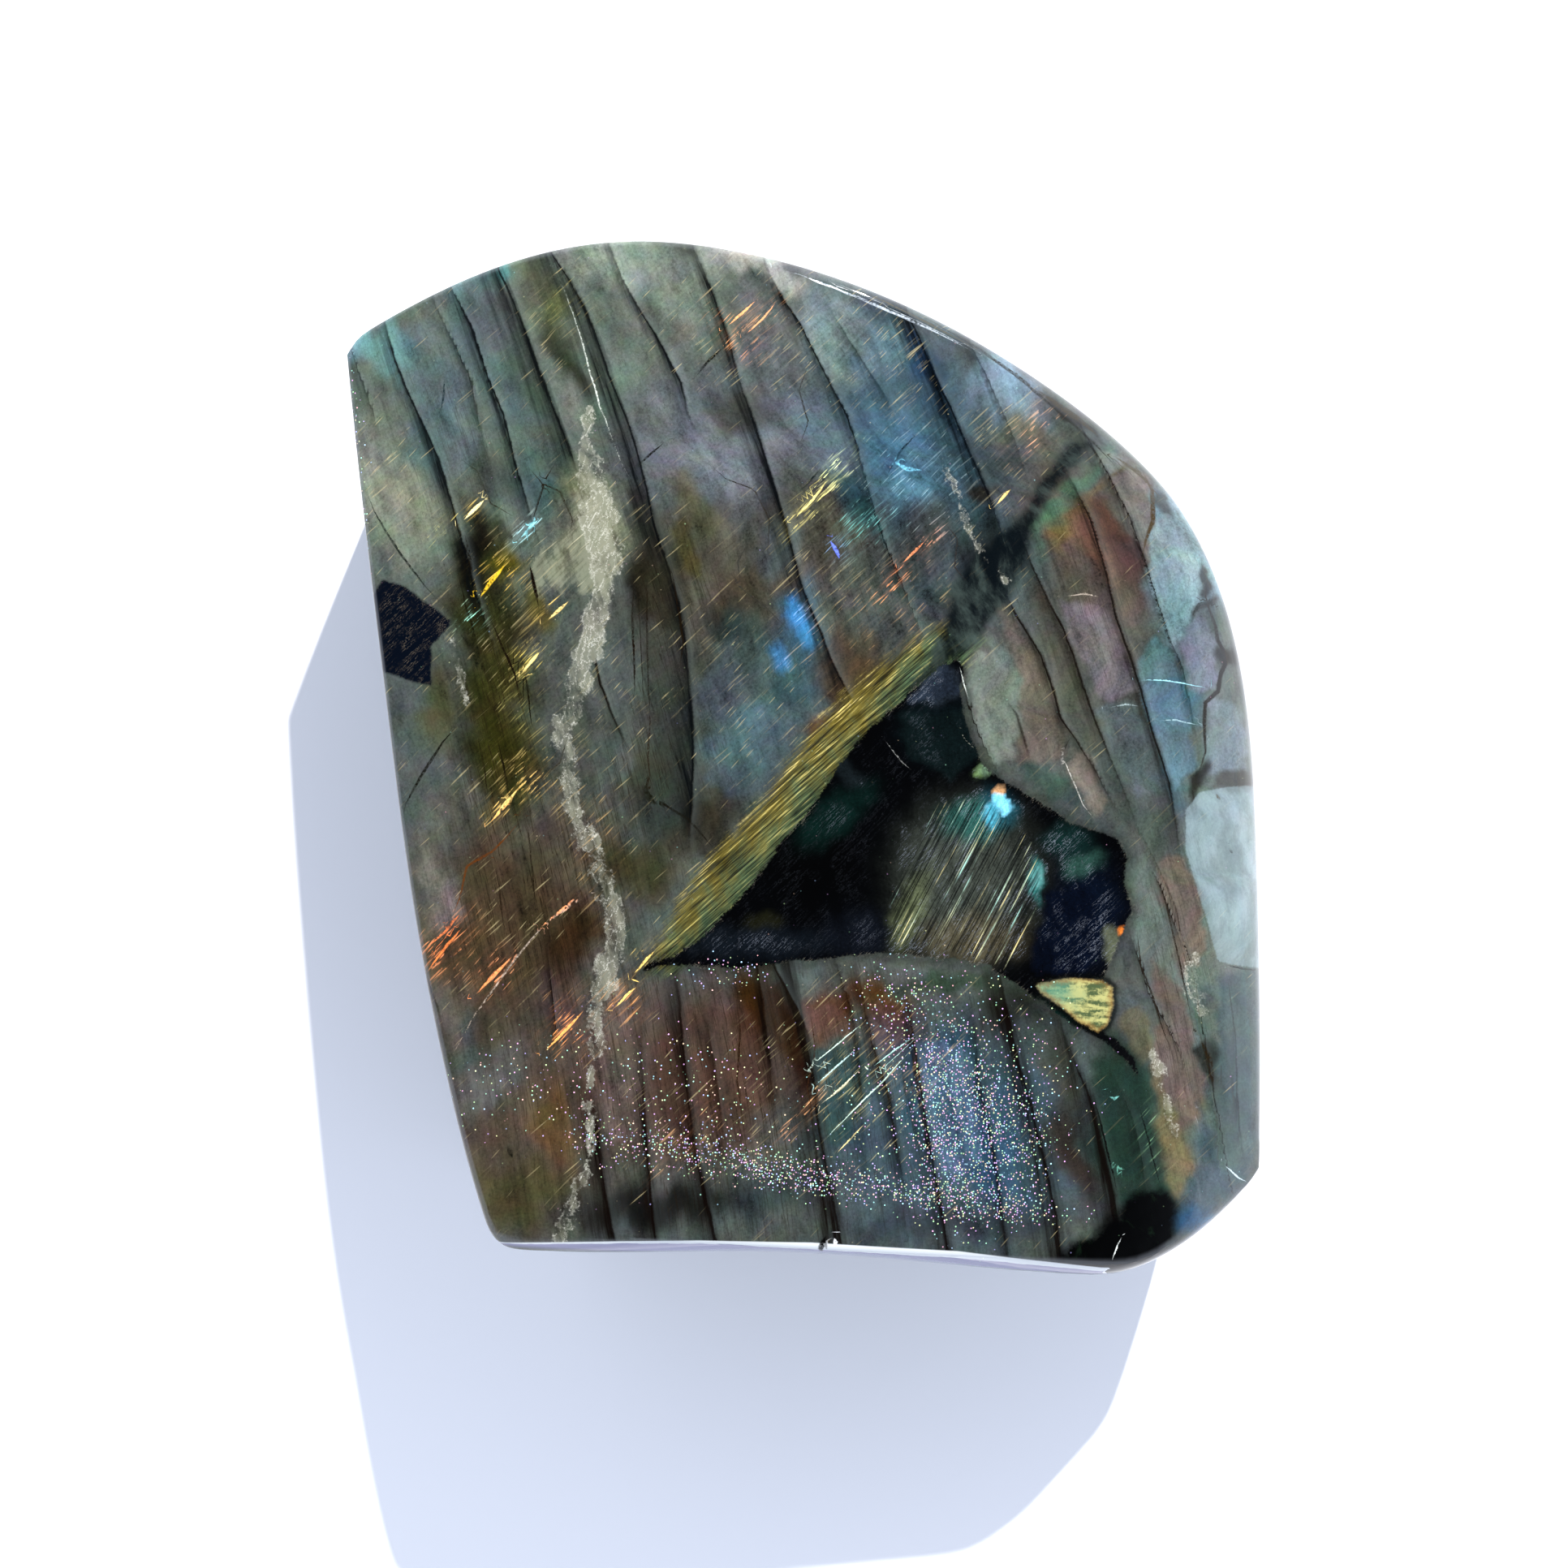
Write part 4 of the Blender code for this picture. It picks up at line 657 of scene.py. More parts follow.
# what shows inside the black wedge: x, y, half sizes in mm, angle, colour, strength
glows = [
    (1.6, -11.7, 5.3, 5.3, 4, (0, 0, 0), 1),
    (13.7, 8.3, 1.8, 2.1, 49, (48, 56, 64), 0.95),
    (14.3, 3.3, 3.6, 4.4, 4, (12, 20, 22), 0.8),
    (3.8, -6.7, 2.0, 5.0, 44, (14, 34, 30), 0.5),
    (19.1, -0.9, 0.7, 0.7, 4, (120, 150, 96), 0.95),
    (18.1, -12.8, 8.0, 7.1, 4, (54, 58, 52), 1),
    (19.4, -18.9, 2.7, 5.3, 4, (72, 66, 50), 0.7),
    (18.5, -6.3, 2.3, 3.6, 4, (36, 72, 66), 0.9),
    (12.5, -16.3, 1.6, 4.4, 74, (80, 86, 62), 0.8),
    (21.0, -4.9, 1.8, 2.3, 114, (30, 72, 84), 0.7),
    (25.6, -12.3, 0.7, 2.3, 99, (50, 110, 105), 0.8),
    (31.2, -15.5, 5.9, 3.9, 4, (10, 16, 26), 1),
    (30.5, -10.2, 1.4, 2.1, 24, (40, 66, 58), 0.7),
    (28.6, -7.7, 1.8, 2.7, 4, (18, 36, 34), 0.8),
    (-3.7, -21.1, 1.8, 8.0, 4, (16, 20, 24), 0.9),
    (7.4, -19.3, 2.7, 3.6, 4, (16, 19, 24), 0.8),
    (4.3, -1.8, 2.3, 1.1, 54, (26, 32, 34), 0.7),
    (35.3, -17.3, 0.4, 0.4, 4, (226, 124, 50), 0.9),
    (-3.1, -18.6, 0.9, 2.1, 4, (34, 34, 20), 0.4),
    (28.7, -26.8, 0.9, 2.7, -31, (12, 30, 26), 0.8),
]

# pieces with a clear outline inside the black wedge, laid out like the plates
facets = [
    (0.25, (62, 132, 150), 1, [(19.2, -4.3), (20.2, -3.7), (21.1, -5.4), (20.9, -7.0), (19.9, -5.9)]),
    (0.2, (120, 200, 226), 1, [(20.2, -2.9), (21.7, -3.1), (22.2, -4.1), (21.6, -5.6),
        (20.8, -4.7), (20.1, -3.7)]),
    (0.2, (212, 160, 110), 0.8, [(20.1, -2.6), (21.1, -2.2), (21.7, -2.9), (20.9, -3.1)]),
    (0.5, (30, 36, 44), 1, [(14.3, 10.8), (16.0, 7.9), (13.1, 6.6), (10.6, 5.9), (12.1, 8.3)]),
    (0.4, (90, 112, 92), 0.9, [(18.7, -0.3), (19.5, 0.0), (20.0, -0.9), (19.5, -1.6), (18.8, -1.1)]),
    (0.6, (14, 22, 22), 0.8, [(9.4, 4.7), (16.7, 5.7), (18.4, 1.0), (15.5, -1.9), (11.0, 0.4)]),
    (0.6, (9, 14, 24), 0.9, [(26.9, -13.6), (30.3, -12.5), (32.3, -14.1), (33.0, -20.3),
        (31.0, -22.7), (26.6, -22.5), (25.5, -20.8), (26.4, -17.2)]),
    (0.6, (76, 80, 64), 0.8, [(33.4, -16.7), (35.0, -17.5), (36.2, -19.7), (35.7, -21.5),
        (34.0, -21.1), (33.2, -19.0)]),
    (0.3, (74, 120, 116), 0.8, [(25.3, -10.7), (26.2, -11.4), (26.2, -13.4), (25.4, -13.7),
        (25.0, -11.9)]),
]

# clusters of bright needles: x, y, half sizes in mm, angle, colour, strength
flashes = [
    (-39.0, 23.7, 1.2, 1.8, 54, (230, 190, 90), 1),
    (-42.4, 21.5, 0.9, 2.3, 50, (200, 190, 90), 0.8),
    (-35.3, 16.5, 2.3, 2.7, 54, (220, 170, 40), 1),
    (-28.8, 13.7, 1.2, 2.8, 50, (230, 190, 90), 0.9),
    (-30.8, 7.9, 1.4, 1.6, 54, (210, 180, 60), 0.9),
    (-32.1, -7.9, 1.2, 3.0, 50, (230, 180, 90), 0.9),
    (-28.8, -5.0, 2.7, 2.7, 49, (220, 170, 90), 0.7),
    (-31.2, 1.9, 3.6, 5.3, 94, (170, 160, 60), 0.25),
    (-32.4, 21.9, 1.1, 2.3, 50, (150, 220, 230), 1),
    (-37.3, 12.6, 1.6, 2.3, 64, (120, 210, 190), 0.9),
    (-31.0, 48.0, 2.7, 3.6, 64, (150, 140, 70), 0.6),
    (-15.3, -23.3, 1.1, 2.3, 50, (240, 200, 100), 1),
    (-1.8, 27.2, 1.4, 4.4, 54, (230, 210, 110), 0.9),
    (0.4, 31.5, 1.2, 3.9, 54, (200, 220, 150), 0.8),
    (-12.2, 45.6, 3.9, 1.8, 49, (240, 150, 90), 0.8),
    (-8.9, 48.6, 1.4, 3.0, 52, (230, 150, 90), 0.8),
    (21.5, 37.0, 2.0, 3.9, 54, (220, 150, 110), 0.7),
    (9.5, 22.1, 0.9, 3.6, 52, (255, 140, 90), 1),
    (7.5, 18.7, 0.9, 2.3, 54, (240, 140, 80), 0.8),
    (-37.5, -23.7, 2.3, 4.1, 59, (246, 130, 74), 0.9),
    (-31.4, -26.3, 2.1, 2.5, 54, (246, 140, 90), 0.8),
    (-23.0, -31.4, 3.0, 3.0, 52, (240, 140, 70), 1.0),
    (-17.4, -27.8, 2.5, 2.3, 52, (250, 160, 80), 0.9),
    (2.5, -39.3, 0.9, 4.4, 52, (240, 150, 100), 0.7),
    (-8.9, -42.1, 2.1, 5.3, 50, (220, 150, 100), 0.5),
    (7.8, -35.9, 8.0, 8.0, 46, (200, 190, 130), 0.3),
    (13.4, -31.2, 6.2, 3.6, 46, (230, 160, 100), 0.35),
    (1.2, 22.5, 1.1, 1.2, 54, (110, 110, 255), 0.4),
    (-1.9, 14.2, 1.1, 2.1, 114, (80, 170, 255), 0.5),
    (-3.8, 10.2, 1.1, 1.6, 104, (90, 170, 240), 0.4),
    (3.6, 24.9, 2.7, 3.9, 34, (70, 190, 180), 0.7),
    (40.1, -39.5, 2.1, 4.4, 104, (120, 200, 150), 0.4),
    (-31.1, 0.1, 10.7, 26.6, 104, (150, 140, 90), 0.16),
    (6.4, 13.4, 6.2, 11.5, 44, (180, 130, 80), 0.35),
    (9.2, 30.8, 6.2, 6.2, 44, (130, 190, 220), 0.35),
    (-21.5, -12.5, 2.7, 8.0, 104, (220, 160, 90), 0.35),
]

# where the painted glints, the steep streaks and the loose needles show: x, y, half sizes in mm, angle,
# strength
paintedGlintPlaces = [
    (-7.8, -43.8, 2.0, 13.3, -4, 0.8),
    (4.4, -45.8, 1.8, 8.0, -6, 1.0),
    (20.8, -47.4, 1.8, 9.8, -4, 0.95),
    (18.9, -39.7, 3.9, 9.8, 102, 1.15),
    (24.5, -40.2, 5.3, 7.1, 102, 0.6),
    (11.3, -26.1, 3.6, 4.1, 4, 0.5),
    (-6.1, -24.5, 1.8, 4.4, 4, 0.35),
    (-11.9, -38.0, 8.0, 12.4, 4, 0.15),
    (18.9, -35.3, 10.7, 10.7, 4, 0.35),
    (-29.4, -38.4, 4.4, 6.2, 34, 0.16),
    (-53.6, 29.2, 1.8, 10.7, 102, 0.3),
]
streaked = [
    (-5.0, -37.6, 16.9, 26.6, 4, 0.75),
    (-27.8, -16.4, 9.8, 13.3, 94, 0.85),
    (-34.1, 3.4, 4.4, 13.3, 94, 0.8),
    (-15.8, -1.5, 6.2, 11.5, 94, 0.7),
    (41.4, -21.6, 3.6, 19.5, 94, 0.45),
    (2.3, 20.3, 8.0, 12.4, 34, 0.3),
    (-41.6, 29.9, 8.0, 13.3, 114, 0.3),
    (26.8, 20.5, 8.0, 12.4, 114, 0.35),
    (-15.8, 17.1, 5.3, 8.0, 109, 0.6),
]
needled = [
    (-34.3, 14.1, 9.8, 8.0, 4, 0.9),
    (-27.5, 9.2, 9.8, 5.3, 64, 0.7),
    (-22.7, 23.8, 7.1, 5.3, 64, 0.5),
    (-12.7, 46.5, 7.1, 9.8, 4, 0.7),
    (6.7, 20.6, 11.5, 13.3, 4, 0.9),
    (1.7, 44.9, 8.0, 8.0, 4, 0.8),
    (-33.3, -24.7, 8.0, 8.9, 44, 0.6),
    (10.3, -34.9, 8.0, 11.5, 4, 0.7),
    (20.6, 36.4, 4.1, 6.2, 4, 0.8),
    (-49.4, 25.8, 8.0, 5.3, 4, 0.5),
    (15.1, 34.1, 5.3, 10.7, 114, 0.5),
    (-15.7, -12.9, 8.0, 9.8, 4, 0.3),
    (-8.6, 6.1, 10.7, 9.8, 4, 0.55),
    (-29.7, -5.1, 5.3, 8.0, 4, 0.7),
    (-32.4, 45.1, 3.6, 6.2, 94, 0.8),
    (-10.8, -40.5, 6.2, 9.8, 4, 0.4),
]


def rgb(colour):                          # a colour of 0 to 255 as the shader wants it
    lin = [(c / 255) ** 2.2 for c in colour]
    return (*lin, 1.0)


def ink(name):
    return rgb(inks[name])


# node helpers
class Num:                                # a socket that can be reckoned with
    def __init__(self, graph, made, out=0):
        self.graph = graph
        self.made = made
        self.out = made.outputs[out]

    def pick(self, out):
        return Num(self.graph, self.made, out)

    def do(self, operation, *values):
        return self.graph.node("ShaderNodeMath", {"operation": operation}, dict(enumerate(values)))

    def __add__(self, other):
        return self.do("ADD", self, other)

    def __radd__(self, other):
        return self.do("ADD", other, self)

    def __sub__(self, other):
        return self.do("SUBTRACT", self, other)

    def __rsub__(self, other):
        return self.do("SUBTRACT", other, self)

    def __mul__(self, other):
        return self.do("MULTIPLY", self, other)

    def __rmul__(self, other):
        return self.do("MULTIPLY", other, self)

    def __truediv__(self, other):
        return self.do("DIVIDE", self, other)

    def __rtruediv__(self, other):
        return self.do("DIVIDE", other, self)

    def __pow__(self, other):
        return self.do("POWER", self, other)

    def __abs__(self):
        return self.do("ABSOLUTE", self)

    def fract(self):
        return self.do("FRACT", self)

    def top(self, other):                # the larger of the two
        return self.do("MAXIMUM", self, other)

    def low(self, other):                # the smaller of the two
        return self.do("MINIMUM", self, other)

    def unit(self):                      # held between 0 and 1
        return self.top(0.0).low(1.0)

    def ramp(self, start, end):          # smooth step from 0 at start to 1 at end
        return self.graph.node("ShaderNodeMapRange", {"interpolation_type": "SMOOTHSTEP"},
                               {"Value": self, "From Min": start, "From Max": end})

    def fade(self, width):               # 1 at zero, falling off with distance
        return self.do("EXPONENT", self * (-1.0 / width))


class Graph:                              # makes the nodes of one tree
    def __init__(self, tree):
        self.tree = tree

    def node(self, kind, settings=None, values=None, out=0):
        made = self.tree.nodes.new(kind)
        for name, value in (settings or {}).items():
            setattr(made, name, value)
        for name, value in (values or {}).items():
            if isinstance(value, Num):
                self.tree.links.new(value.out, made.inputs[name])
            else:
                made.inputs[name].default_value = value
        return Num(self, made, out)

    def attribute(self, name):            # a field that paintFields has stored
        return self.node("ShaderNodeAttribute", {"attribute_name": name}).pick(1)

    def split(self, vector):
        parts = self.node("ShaderNodeSeparateXYZ", None, {0: vector})
        return parts, parts.pick(1), parts.pick(2)

    def join(self, x, y, z):
        return self.node("ShaderNodeCombineXYZ", None, {0: x, 1: y, 2: z})

    def grey(self, value):
        return self.join(value, value, value)

    def mix(self, share, under, over, blend="MIX"):
        return self.node("ShaderNodeMix", {"data_type": "RGBA", "blend_type": blend},
                         {0: share, 6: under, 7: over}, 2)

    def noise(self, name, vector, out=0):
        scale, detail, rough = grains[name]
        return self.node("ShaderNodeTexNoise", {"noise_dimensions": "3D"},
                         {"Vector": vector, "Scale": scale, "Detail": detail, "Roughness": rough}, out)

    def cells(self, vector, scale, feature="F1", space="3D"):
        return self.node("ShaderNodeTexVoronoi", {"voronoi_dimensions": space, "feature": feature},
                         {"Vector": vector, "Scale": scale})


# pattern fields, worked out at each point of the stone
def softShape(x, y, spec, power=4):       # 1 inside a soft oval, 0 outside
    cx, cy, rx, ry, angle = spec[:5]
    a = math.radians(angle - 90)
    u = ((x - cx) * math.cos(a) + (y - cy) * math.sin(a)) / rx
    v = (-(x - cx) * math.sin(a) + (y - cy) * math.cos(a)) / ry
    return np.exp(-(u * u + v * v) ** (power / 2))


def crackAt(line, x, y):                  # where a fracture passes at each height, and its strength
    cx, cy, s = (np.array(part, float) for part in zip(*line))
    at = np.interp(-y, -cy, cx)
    slope = np.clip((cx[1] - cx[0]) / (cy[0] - cy[1]), 0.02, 0.45)
    at += np.where(y > cy[0], (cy[0] - y) * slope, 0) + np.where(y < cy[-1], (cy[-1] - y) * 0.25, 0)
    strength = np.interp(-y, -cy, s)
    strength[(y > cy[0] + 3) & (s[0] == 0)] = 0
    return at, strength


def crackField(cracks, x, y):             # place between two fractures, gap there, strength
    found = [crackAt(line, x, y) for soft, line in cracks]
    rows = np.array([at for at, strength in found])
    strengths = np.array([strength for at, strength in found])
    rows = np.maximum.accumulate(rows + np.arange(len(rows))[:, None] * 0.02, axis=0)
    rows = np.vstack((rows[:1] - 40, rows, rows[-1:] + 40))
    strengths = np.vstack((strengths, np.zeros_like(x)))
    index = np.clip((rows <= x).sum(axis=0), 1, len(rows) - 1)
    here = np.arange(len(x))
    before, after = rows[index - 1, here], rows[index, here]
    gap = np.maximum(after - before, 0.02)
    share = np.clip((x - before) / gap, 0, 1)
    near = np.clip(share / 0.4, 0, 1)
    blend = near ** 2 * (3 - 2 * near)
    softs = np.array([soft for soft, line in cracks] + [1.0])
    last = np.maximum(index - 2, 0)
    strength = strengths[last, here] * (1 - blend) + strengths[index - 1, here] * blend
    softness = softs[last] * (1 - blend) + softs[index - 1] * blend
    return np.stack((index + (x - before) / gap, gap, strength), axis=1), softness


def plateShift(x, y):                     # each fracture shifts what lies to its right
    draw = np.random.default_rng(stone["seed"])
    shift = np.zeros_like(x)
    sign = 1
    for cracks in (upperCracks, rightCracks, lowRightCracks, footCracks):
        before = 0.0
        for soft, line in cracks:
            at, strength = crackAt(line, x, y)
            after = sign * draw.uniform(0.2, 0.8) * stone["plateShift"]
            shift += np.where(x > at, strength * (after - before), 0)
            before = after
            sign = -sign
    return shift


def insideBy(outline, x, y):              # distance inside an outline, minus outside
    points = np.array(outline, float)
    best = np.full(len(x), 1e9)
    odd = np.zeros(len(x), bool)
    for (ax, ay), (bx, by) in zip(points, np.roll(points, -1, axis=0)):
        dx, dy = bx - ax, by - ay
        t = np.clip(((x - ax) * dx + (y - ay) * dy) / (dx * dx + dy * dy), 0, 1)
        best = np.minimum(best, (x - ax - t * dx) ** 2 + (y - ay - t * dy) ** 2)
        if dy:
            odd ^= ((ay > y) != (by > y)) & (x < dx * (y - ay) / dy + ax)
    return np.where(odd, 1, -1) * np.sqrt(best)


def insideVeins(x, y):                    # distance inside the nearest vein, minus outside
    best = np.full(len(x), -1e9)
    for line in veins:
        for (ax, ay, aw), (bx, by, bw) in zip(line, line[1:]):
            dx, dy = bx - ax, by - ay
            t = np.clip(((x - ax) * dx + (y - ay) * dy) / (dx * dx + dy * dy), 0, 1)
            far = np.hypot(x - ax - t * dx, y - ay - t * dy)
            best = np.maximum(best, aw + (bw - aw) * t - far)
    return best


def strokeFields(x, y):                   # nearest stroke: offset in half widths, place along it
    best = np.full(len(x), 1e9)
    where = np.full((len(x), 3), 9.0)
    colour = np.zeros((len(x), 3))
    halfWidth = np.ones(len(x))
    for half, strength, tint, points in strokes:
        lengths = [math.dist(a, b) for a, b in zip(points, points[1:])]
        total = sum(lengths)
        done = 0.0
        for i, ((ax, ay), (bx, by)) in enumerate(zip(points, points[1:])):
            dx, dy = (bx - ax) / lengths[i], (by - ay) / lengths[i]
            reach = (x - ax) * dx + (y - ay) * dy
            held = np.clip(reach, 0, lengths[i])
            far = np.hypot(x - ax - held * dx, y - ay - held * dy) - half
            near = far < best
            best = np.where(near, far, best)
            if i > 0:
                reach = np.maximum(reach, 0)
            if i < len(lengths) - 1:
                reach = np.minimum(reach, lengths[i])
            offset = np.where(far > 0.7, 9, ((x - ax) * dy - (y - ay) * dx) / half)
            place = np.where(far > 0.7, 9, (done + reach) / total * 2 - 1)
            where[near] = np.stack((offset, place, np.full_like(x, strength)), axis=1)[near]
            colour[near] = rgb(tint)[:3]
            halfWidth[near] = half
            done += lengths[i]
    return np.clip(where, -9, 9), halfWidth, colour


def paintFields(mesh):                    # stores every field on the mesh, as attributes
    count = len(mesh.vertices)
    co = np.empty(count * 3)
    mesh.vertices.foreach_get("co", co)
    co = co.reshape(-1, 3) * 1000
    x = co[:, 0] + stone["dip"] * (co[:, 2] - stone["faceHeight"])
    y = co[:, 1]
    shift = plateShift(x, y)
    # wavy coordinates for the soft grounds, and less wavy ones for what has a clear outline
    wx = x + 0.8 * np.sin(0.45 * y + 1.3) + 0.5 * np.sin(0.9 * y + 0.4 * x) + shift * 0.35
    wy = y + 0.8 * np.sin(0.5 * x + 0.2 * y) + 0.5 * np.sin(1.1 * x - 0.3 * y) + shift * 0.8
    wx = wx + 0.22 * np.sin(1.9 * y + 0.9 * x) + 0.12 * np.sin(3.7 * y - 1.3 * x)
    wy = wy + 0.32 * np.sin(2.1 * x + 0.4 * y) + 0.16 * np.sin(4.1 * x - 0.8 * y)
    nx = x + 0.22 * np.sin(1.3 * y + 0.5 * x) + 0.14 * np.sin(3.1 * y)
    ny = y + 0.22 * np.sin(1.2 * x - 0.4 * y) + 0.14 * np.sin(2.9 * x)

    def store(name, value):
        layer = mesh.attributes.new(name, "FLOAT_VECTOR", "POINT")
        layer.data.foreach_set("vector", np.ascontiguousarray(value, np.float32).ravel())

    def rich(tint):
        target = np.array(rgb(tint)[:3])
        return np.maximum(target.mean() + (target - target.mean()) * stone["richness"], 0.002)

    def plain(tint):
        return np.array(rgb(tint)[:3])

    def outlined(value, outlines):
        for soft, tint, strength, points in outlines:
            share = np.clip(insideBy(points, nx, ny) / soft + 0.5, 0, 1)[:, None] * strength
            value = value + share * (plain(tint) - value)
        return value

    def covered(start, specs, tone, px, py):
        value = np.tile(plain(start), (count, 1))
        for spec in specs:
            share = softShape(px, py, spec)[:, None] * spec[6]
            value = value + share * (tone(spec[5]) - value)
        return value

    def amount(specs):
        return np.clip(sum(softShape(x, y, spec, 3) * spec[5] for spec in specs), 0, 1.2)

    store("ground", outlined(covered(inks["plain ground"], grounds, rich, wx, wy), plates))
    store("glow", outlined(covered(inks["wedge"], glows, plain, nx, ny), facets))
    store("flash", sum(softShape(x, y, spec, 2)[:, None] * spec[6] * plain(spec[5]) for spec in flashes))
    softness = []
    for name, cracks in (("upperCracks", upperCracks), ("rightCracks", rightCracks),
                         ("footCracks", footCracks), ("lowRightCracks", lowRightCracks)):
        field, soft = crackField(cracks, x, y)
        store(name, field)
        softness.append(soft)
    store("softness", np.stack(softness[:3], axis=1))
    names = list(shapes)
    for i in range(0, len(names), 3):     # three outlines fit in one attribute
        parts = [insideBy(shapes[name], x, y) for name in names[i:i + 3]]
        store("shapes%d" % (i // 3), np.stack(parts, axis=1))
    where, halfWidth, colour = strokeFields(x, y)
    store("strokePlace", where)
    store("strokeColour", colour)
    store("veinField", np.stack((insideVeins(x, y), halfWidth, shift), axis=1))
    store("amounts", np.stack((amount(paintedGlintPlaces), amount(streaked), amount(needled)), axis=1))
    # where the strip with the painted reflections lies, and the plain flat base behind it
    behind = co[:, 1] - boundsBefore[0][1] * 1000              # mm behind the front of the base
    wide = np.interp(co[:, 0], sawnStrip["wideAt"], sawnStrip["wide"])
    pale = np.interp(co[:, 0], sawnStrip["paleAt"], sawnStrip["pale"])
    sawn = np.where(co[:, 0] < sawnStrip["end"], wide - behind, -1)
    flat = np.clip((sawnStrip["flatFrom"] - behind) / 0.5, 0, 1)
    store("edges", np.stack((sawn, sawn - pale, flat), axis=1))
    print("fields stored")


# what the layers of the stone's colour share: coordinates in mm, grain, distances inside the outlines
class Pattern:
    def __init__(self, g):
        self.g = g
        ox, oy, oz = g.split(g.node("ShaderNodeTexCoord", None, None, 3))
        self.inVein, self.halfWidth, self.shift = g.split(g.attribute("veinField"))
        self.sparkle, self.streaky, self.needly = g.split(g.attribute("amounts"))
        self.inside = {}
        names = list(shapes)
        for i in range(0, len(names), 3):
            fields = g.split(g.attribute("shapes%d" % (i // 3)))
            self.inside.update(zip(names[i:i + 3], fields))
        self.y = oy * 1000
        self.z = oz * 1000
        self.x = ox * 1000 + (self.z - stone["faceHeight"]) * stone["dip"]
        self.space = g.join(self.x, self.y, self.z)
        self.lean = self.x + self.y * 0.36 + self.y * self.y * 0.0013      # constant along the fractures
        along, across = self.turned(stone["needleAngle"])
        slipped = g.join((self.lean + self.shift) * 1.25, (self.y + self.shift) * 0.6, self.z)
        self.wobble = g.noise("wobble", self.space) - 0.5
        self.fine = g.noise("fine", self.space) - 0.5
        self.mottle = g.noise("mottle", slipped) - 0.5
        self.brush = g.noise("brush", g.join(along * 0.28, across * 2.6, self.z * 0.4)) - 0.5
        self.streaks = g.noise("streaks", g.join(self.lean * 1.5, self.y * 0.09, self.z * 0.1)) - 0.5
        self.ragged = self.wobble * 1.1 + self.fine * 1.1
        marked = (self.mottle * 7.0 + self.wobble * 2.0 + 0.35).unit()
        self.scratch = abs(self.brush + self.fine * 0.3).ramp(0.022, 0.0) * marked
        self.lace = self.laceLines()

    def turned(self, degrees):            # the coordinates along and across a direction
        a = math.radians(degrees)
        return (self.x * math.cos(a) + self.y * math.sin(a),
                self.y * math.cos(a) - self.x * math.sin(a))

    def laceLines(self):                  # thin lines between crumpled cells
        crumple = self.wobble * 2.0 + self.fine * 1.5
        at = self.g.join((self.x + self.y * 0.12 + crumple) * 1.3, self.y * 0.5 + crumple, 0.0)
        cell = self.g.cells(at, 1.0, "DISTANCE_TO_EDGE", "2D")
        return cell.ramp(0.08, 0.01) * (self.fine * 6.0 + self.mottle * 6.0 + 0.3).unit()

    def needles(self, name, turn, keep, space="2D"):       # mask and brightness of one size
        length, wide = needleSizes[name]
        run, off = self.turned(stone["needleAngle"] + turn)
        cell = self.g.cells(self.g.join(run / length, off / wide, self.z * 0.5), 1.0, "F1", space)
        chance, _, light = self.g.split(cell.pick(1))
        return cell.ramp(0.44, 0.16) * (chance - (1.0 - keep)).ramp(0.0, 0.06), light


# the layers: each takes the pattern and the colour so far, and gives the next colour
def bodyColour(p, colour):
    g = p.g
    tone = 1.0 + p.shift * 0.05 + p.mottle * 2.5 + p.brush * (p.needly * 0.7 + 0.2) + p.fine * 1.1
    tone = tone + p.streaks * (p.streaky * 1.7 + 0.4)
    colour = g.mix(1.0, colour, g.grey((tone * stone["body"]).top(0.03)), "MULTIPLY")
    warm = g.noise("warmth", g.join(p.x + p.shift, p.y + p.shift * 1.7, p.z), 1)
    return g.mix(stone["warmth"], colour, warm, "SOFT_LIGHT")


def faintLines(p, colour):
    g = p.g
    vague = abs(p.mottle + p.wobble * 0.5 - 0.06).ramp(0.016, 0.0) * (0.5 - p.brush * 3.0).unit()
    colour = g.mix(vague * 0.4, colour, ink("faint line"))
    threads = g.noise("threads", g.join(p.lean * 2.6 + p.wobble * 0.6, p.y * 0.10, p.z * 0.1)) - 0.5
    here = (p.streaky * 1.1 + 0.12) * (p.mottle * 3.0 + 0.75).unit()
    return g.mix(abs(threads).ramp(0.035, 0.005) * here * 0.75, colour, ink("thread"))


def fractures(p, colour):                 # crisp line, streaky shade on its left, light rim on its right
    g = p.g
    upper, right, foot = g.split(g.attribute("softness"))
    softness = {"upperCracks": upper, "rightCracks": right * 0.7, "footCracks": foot * 1.1,
                "lowRightCracks": 0.5}
    for name, (onRight, depth, lightRim, tint) in crackLooks.items():
        index, gap, strength = g.split(g.attribute(name))
        share = index.fract()
        jag = p.wobble * 0.3 + p.fine * 0.14
        fromLeft = share * gap + jag
        fromRight = (1.0 - share) * gap - jag
        line = (abs(fromLeft).low(abs(fromRight)) - stone["crackWidth"] - p.mottle * 0.2).top(0.0).fade(0.10)
        wide = (softness[name] * (2.0 + p.streaks * 5.0 + p.mottle * 4.5)).top(0.15)
        reach = (1.0 - fromRight.low(fromLeft * onRight).top(0.0) / wide).top(0.0)
        shade = reach ** 1.4 * (depth + p.streaks * 2.0)
        light = (fromLeft - 0.2).top(0.0).fade(0.8) * (fromLeft - 0.1).ramp(0.0, 0.2) * strength
        colour = g.mix(light * lightRim, colour, ink("crack rim"))
        dark = line.top(shade) * (strength * 1.5).low(1.0) * stone["crackDark"]
        colour = g.mix(dark.low(0.97), colour, rgb(tint))
    return colour


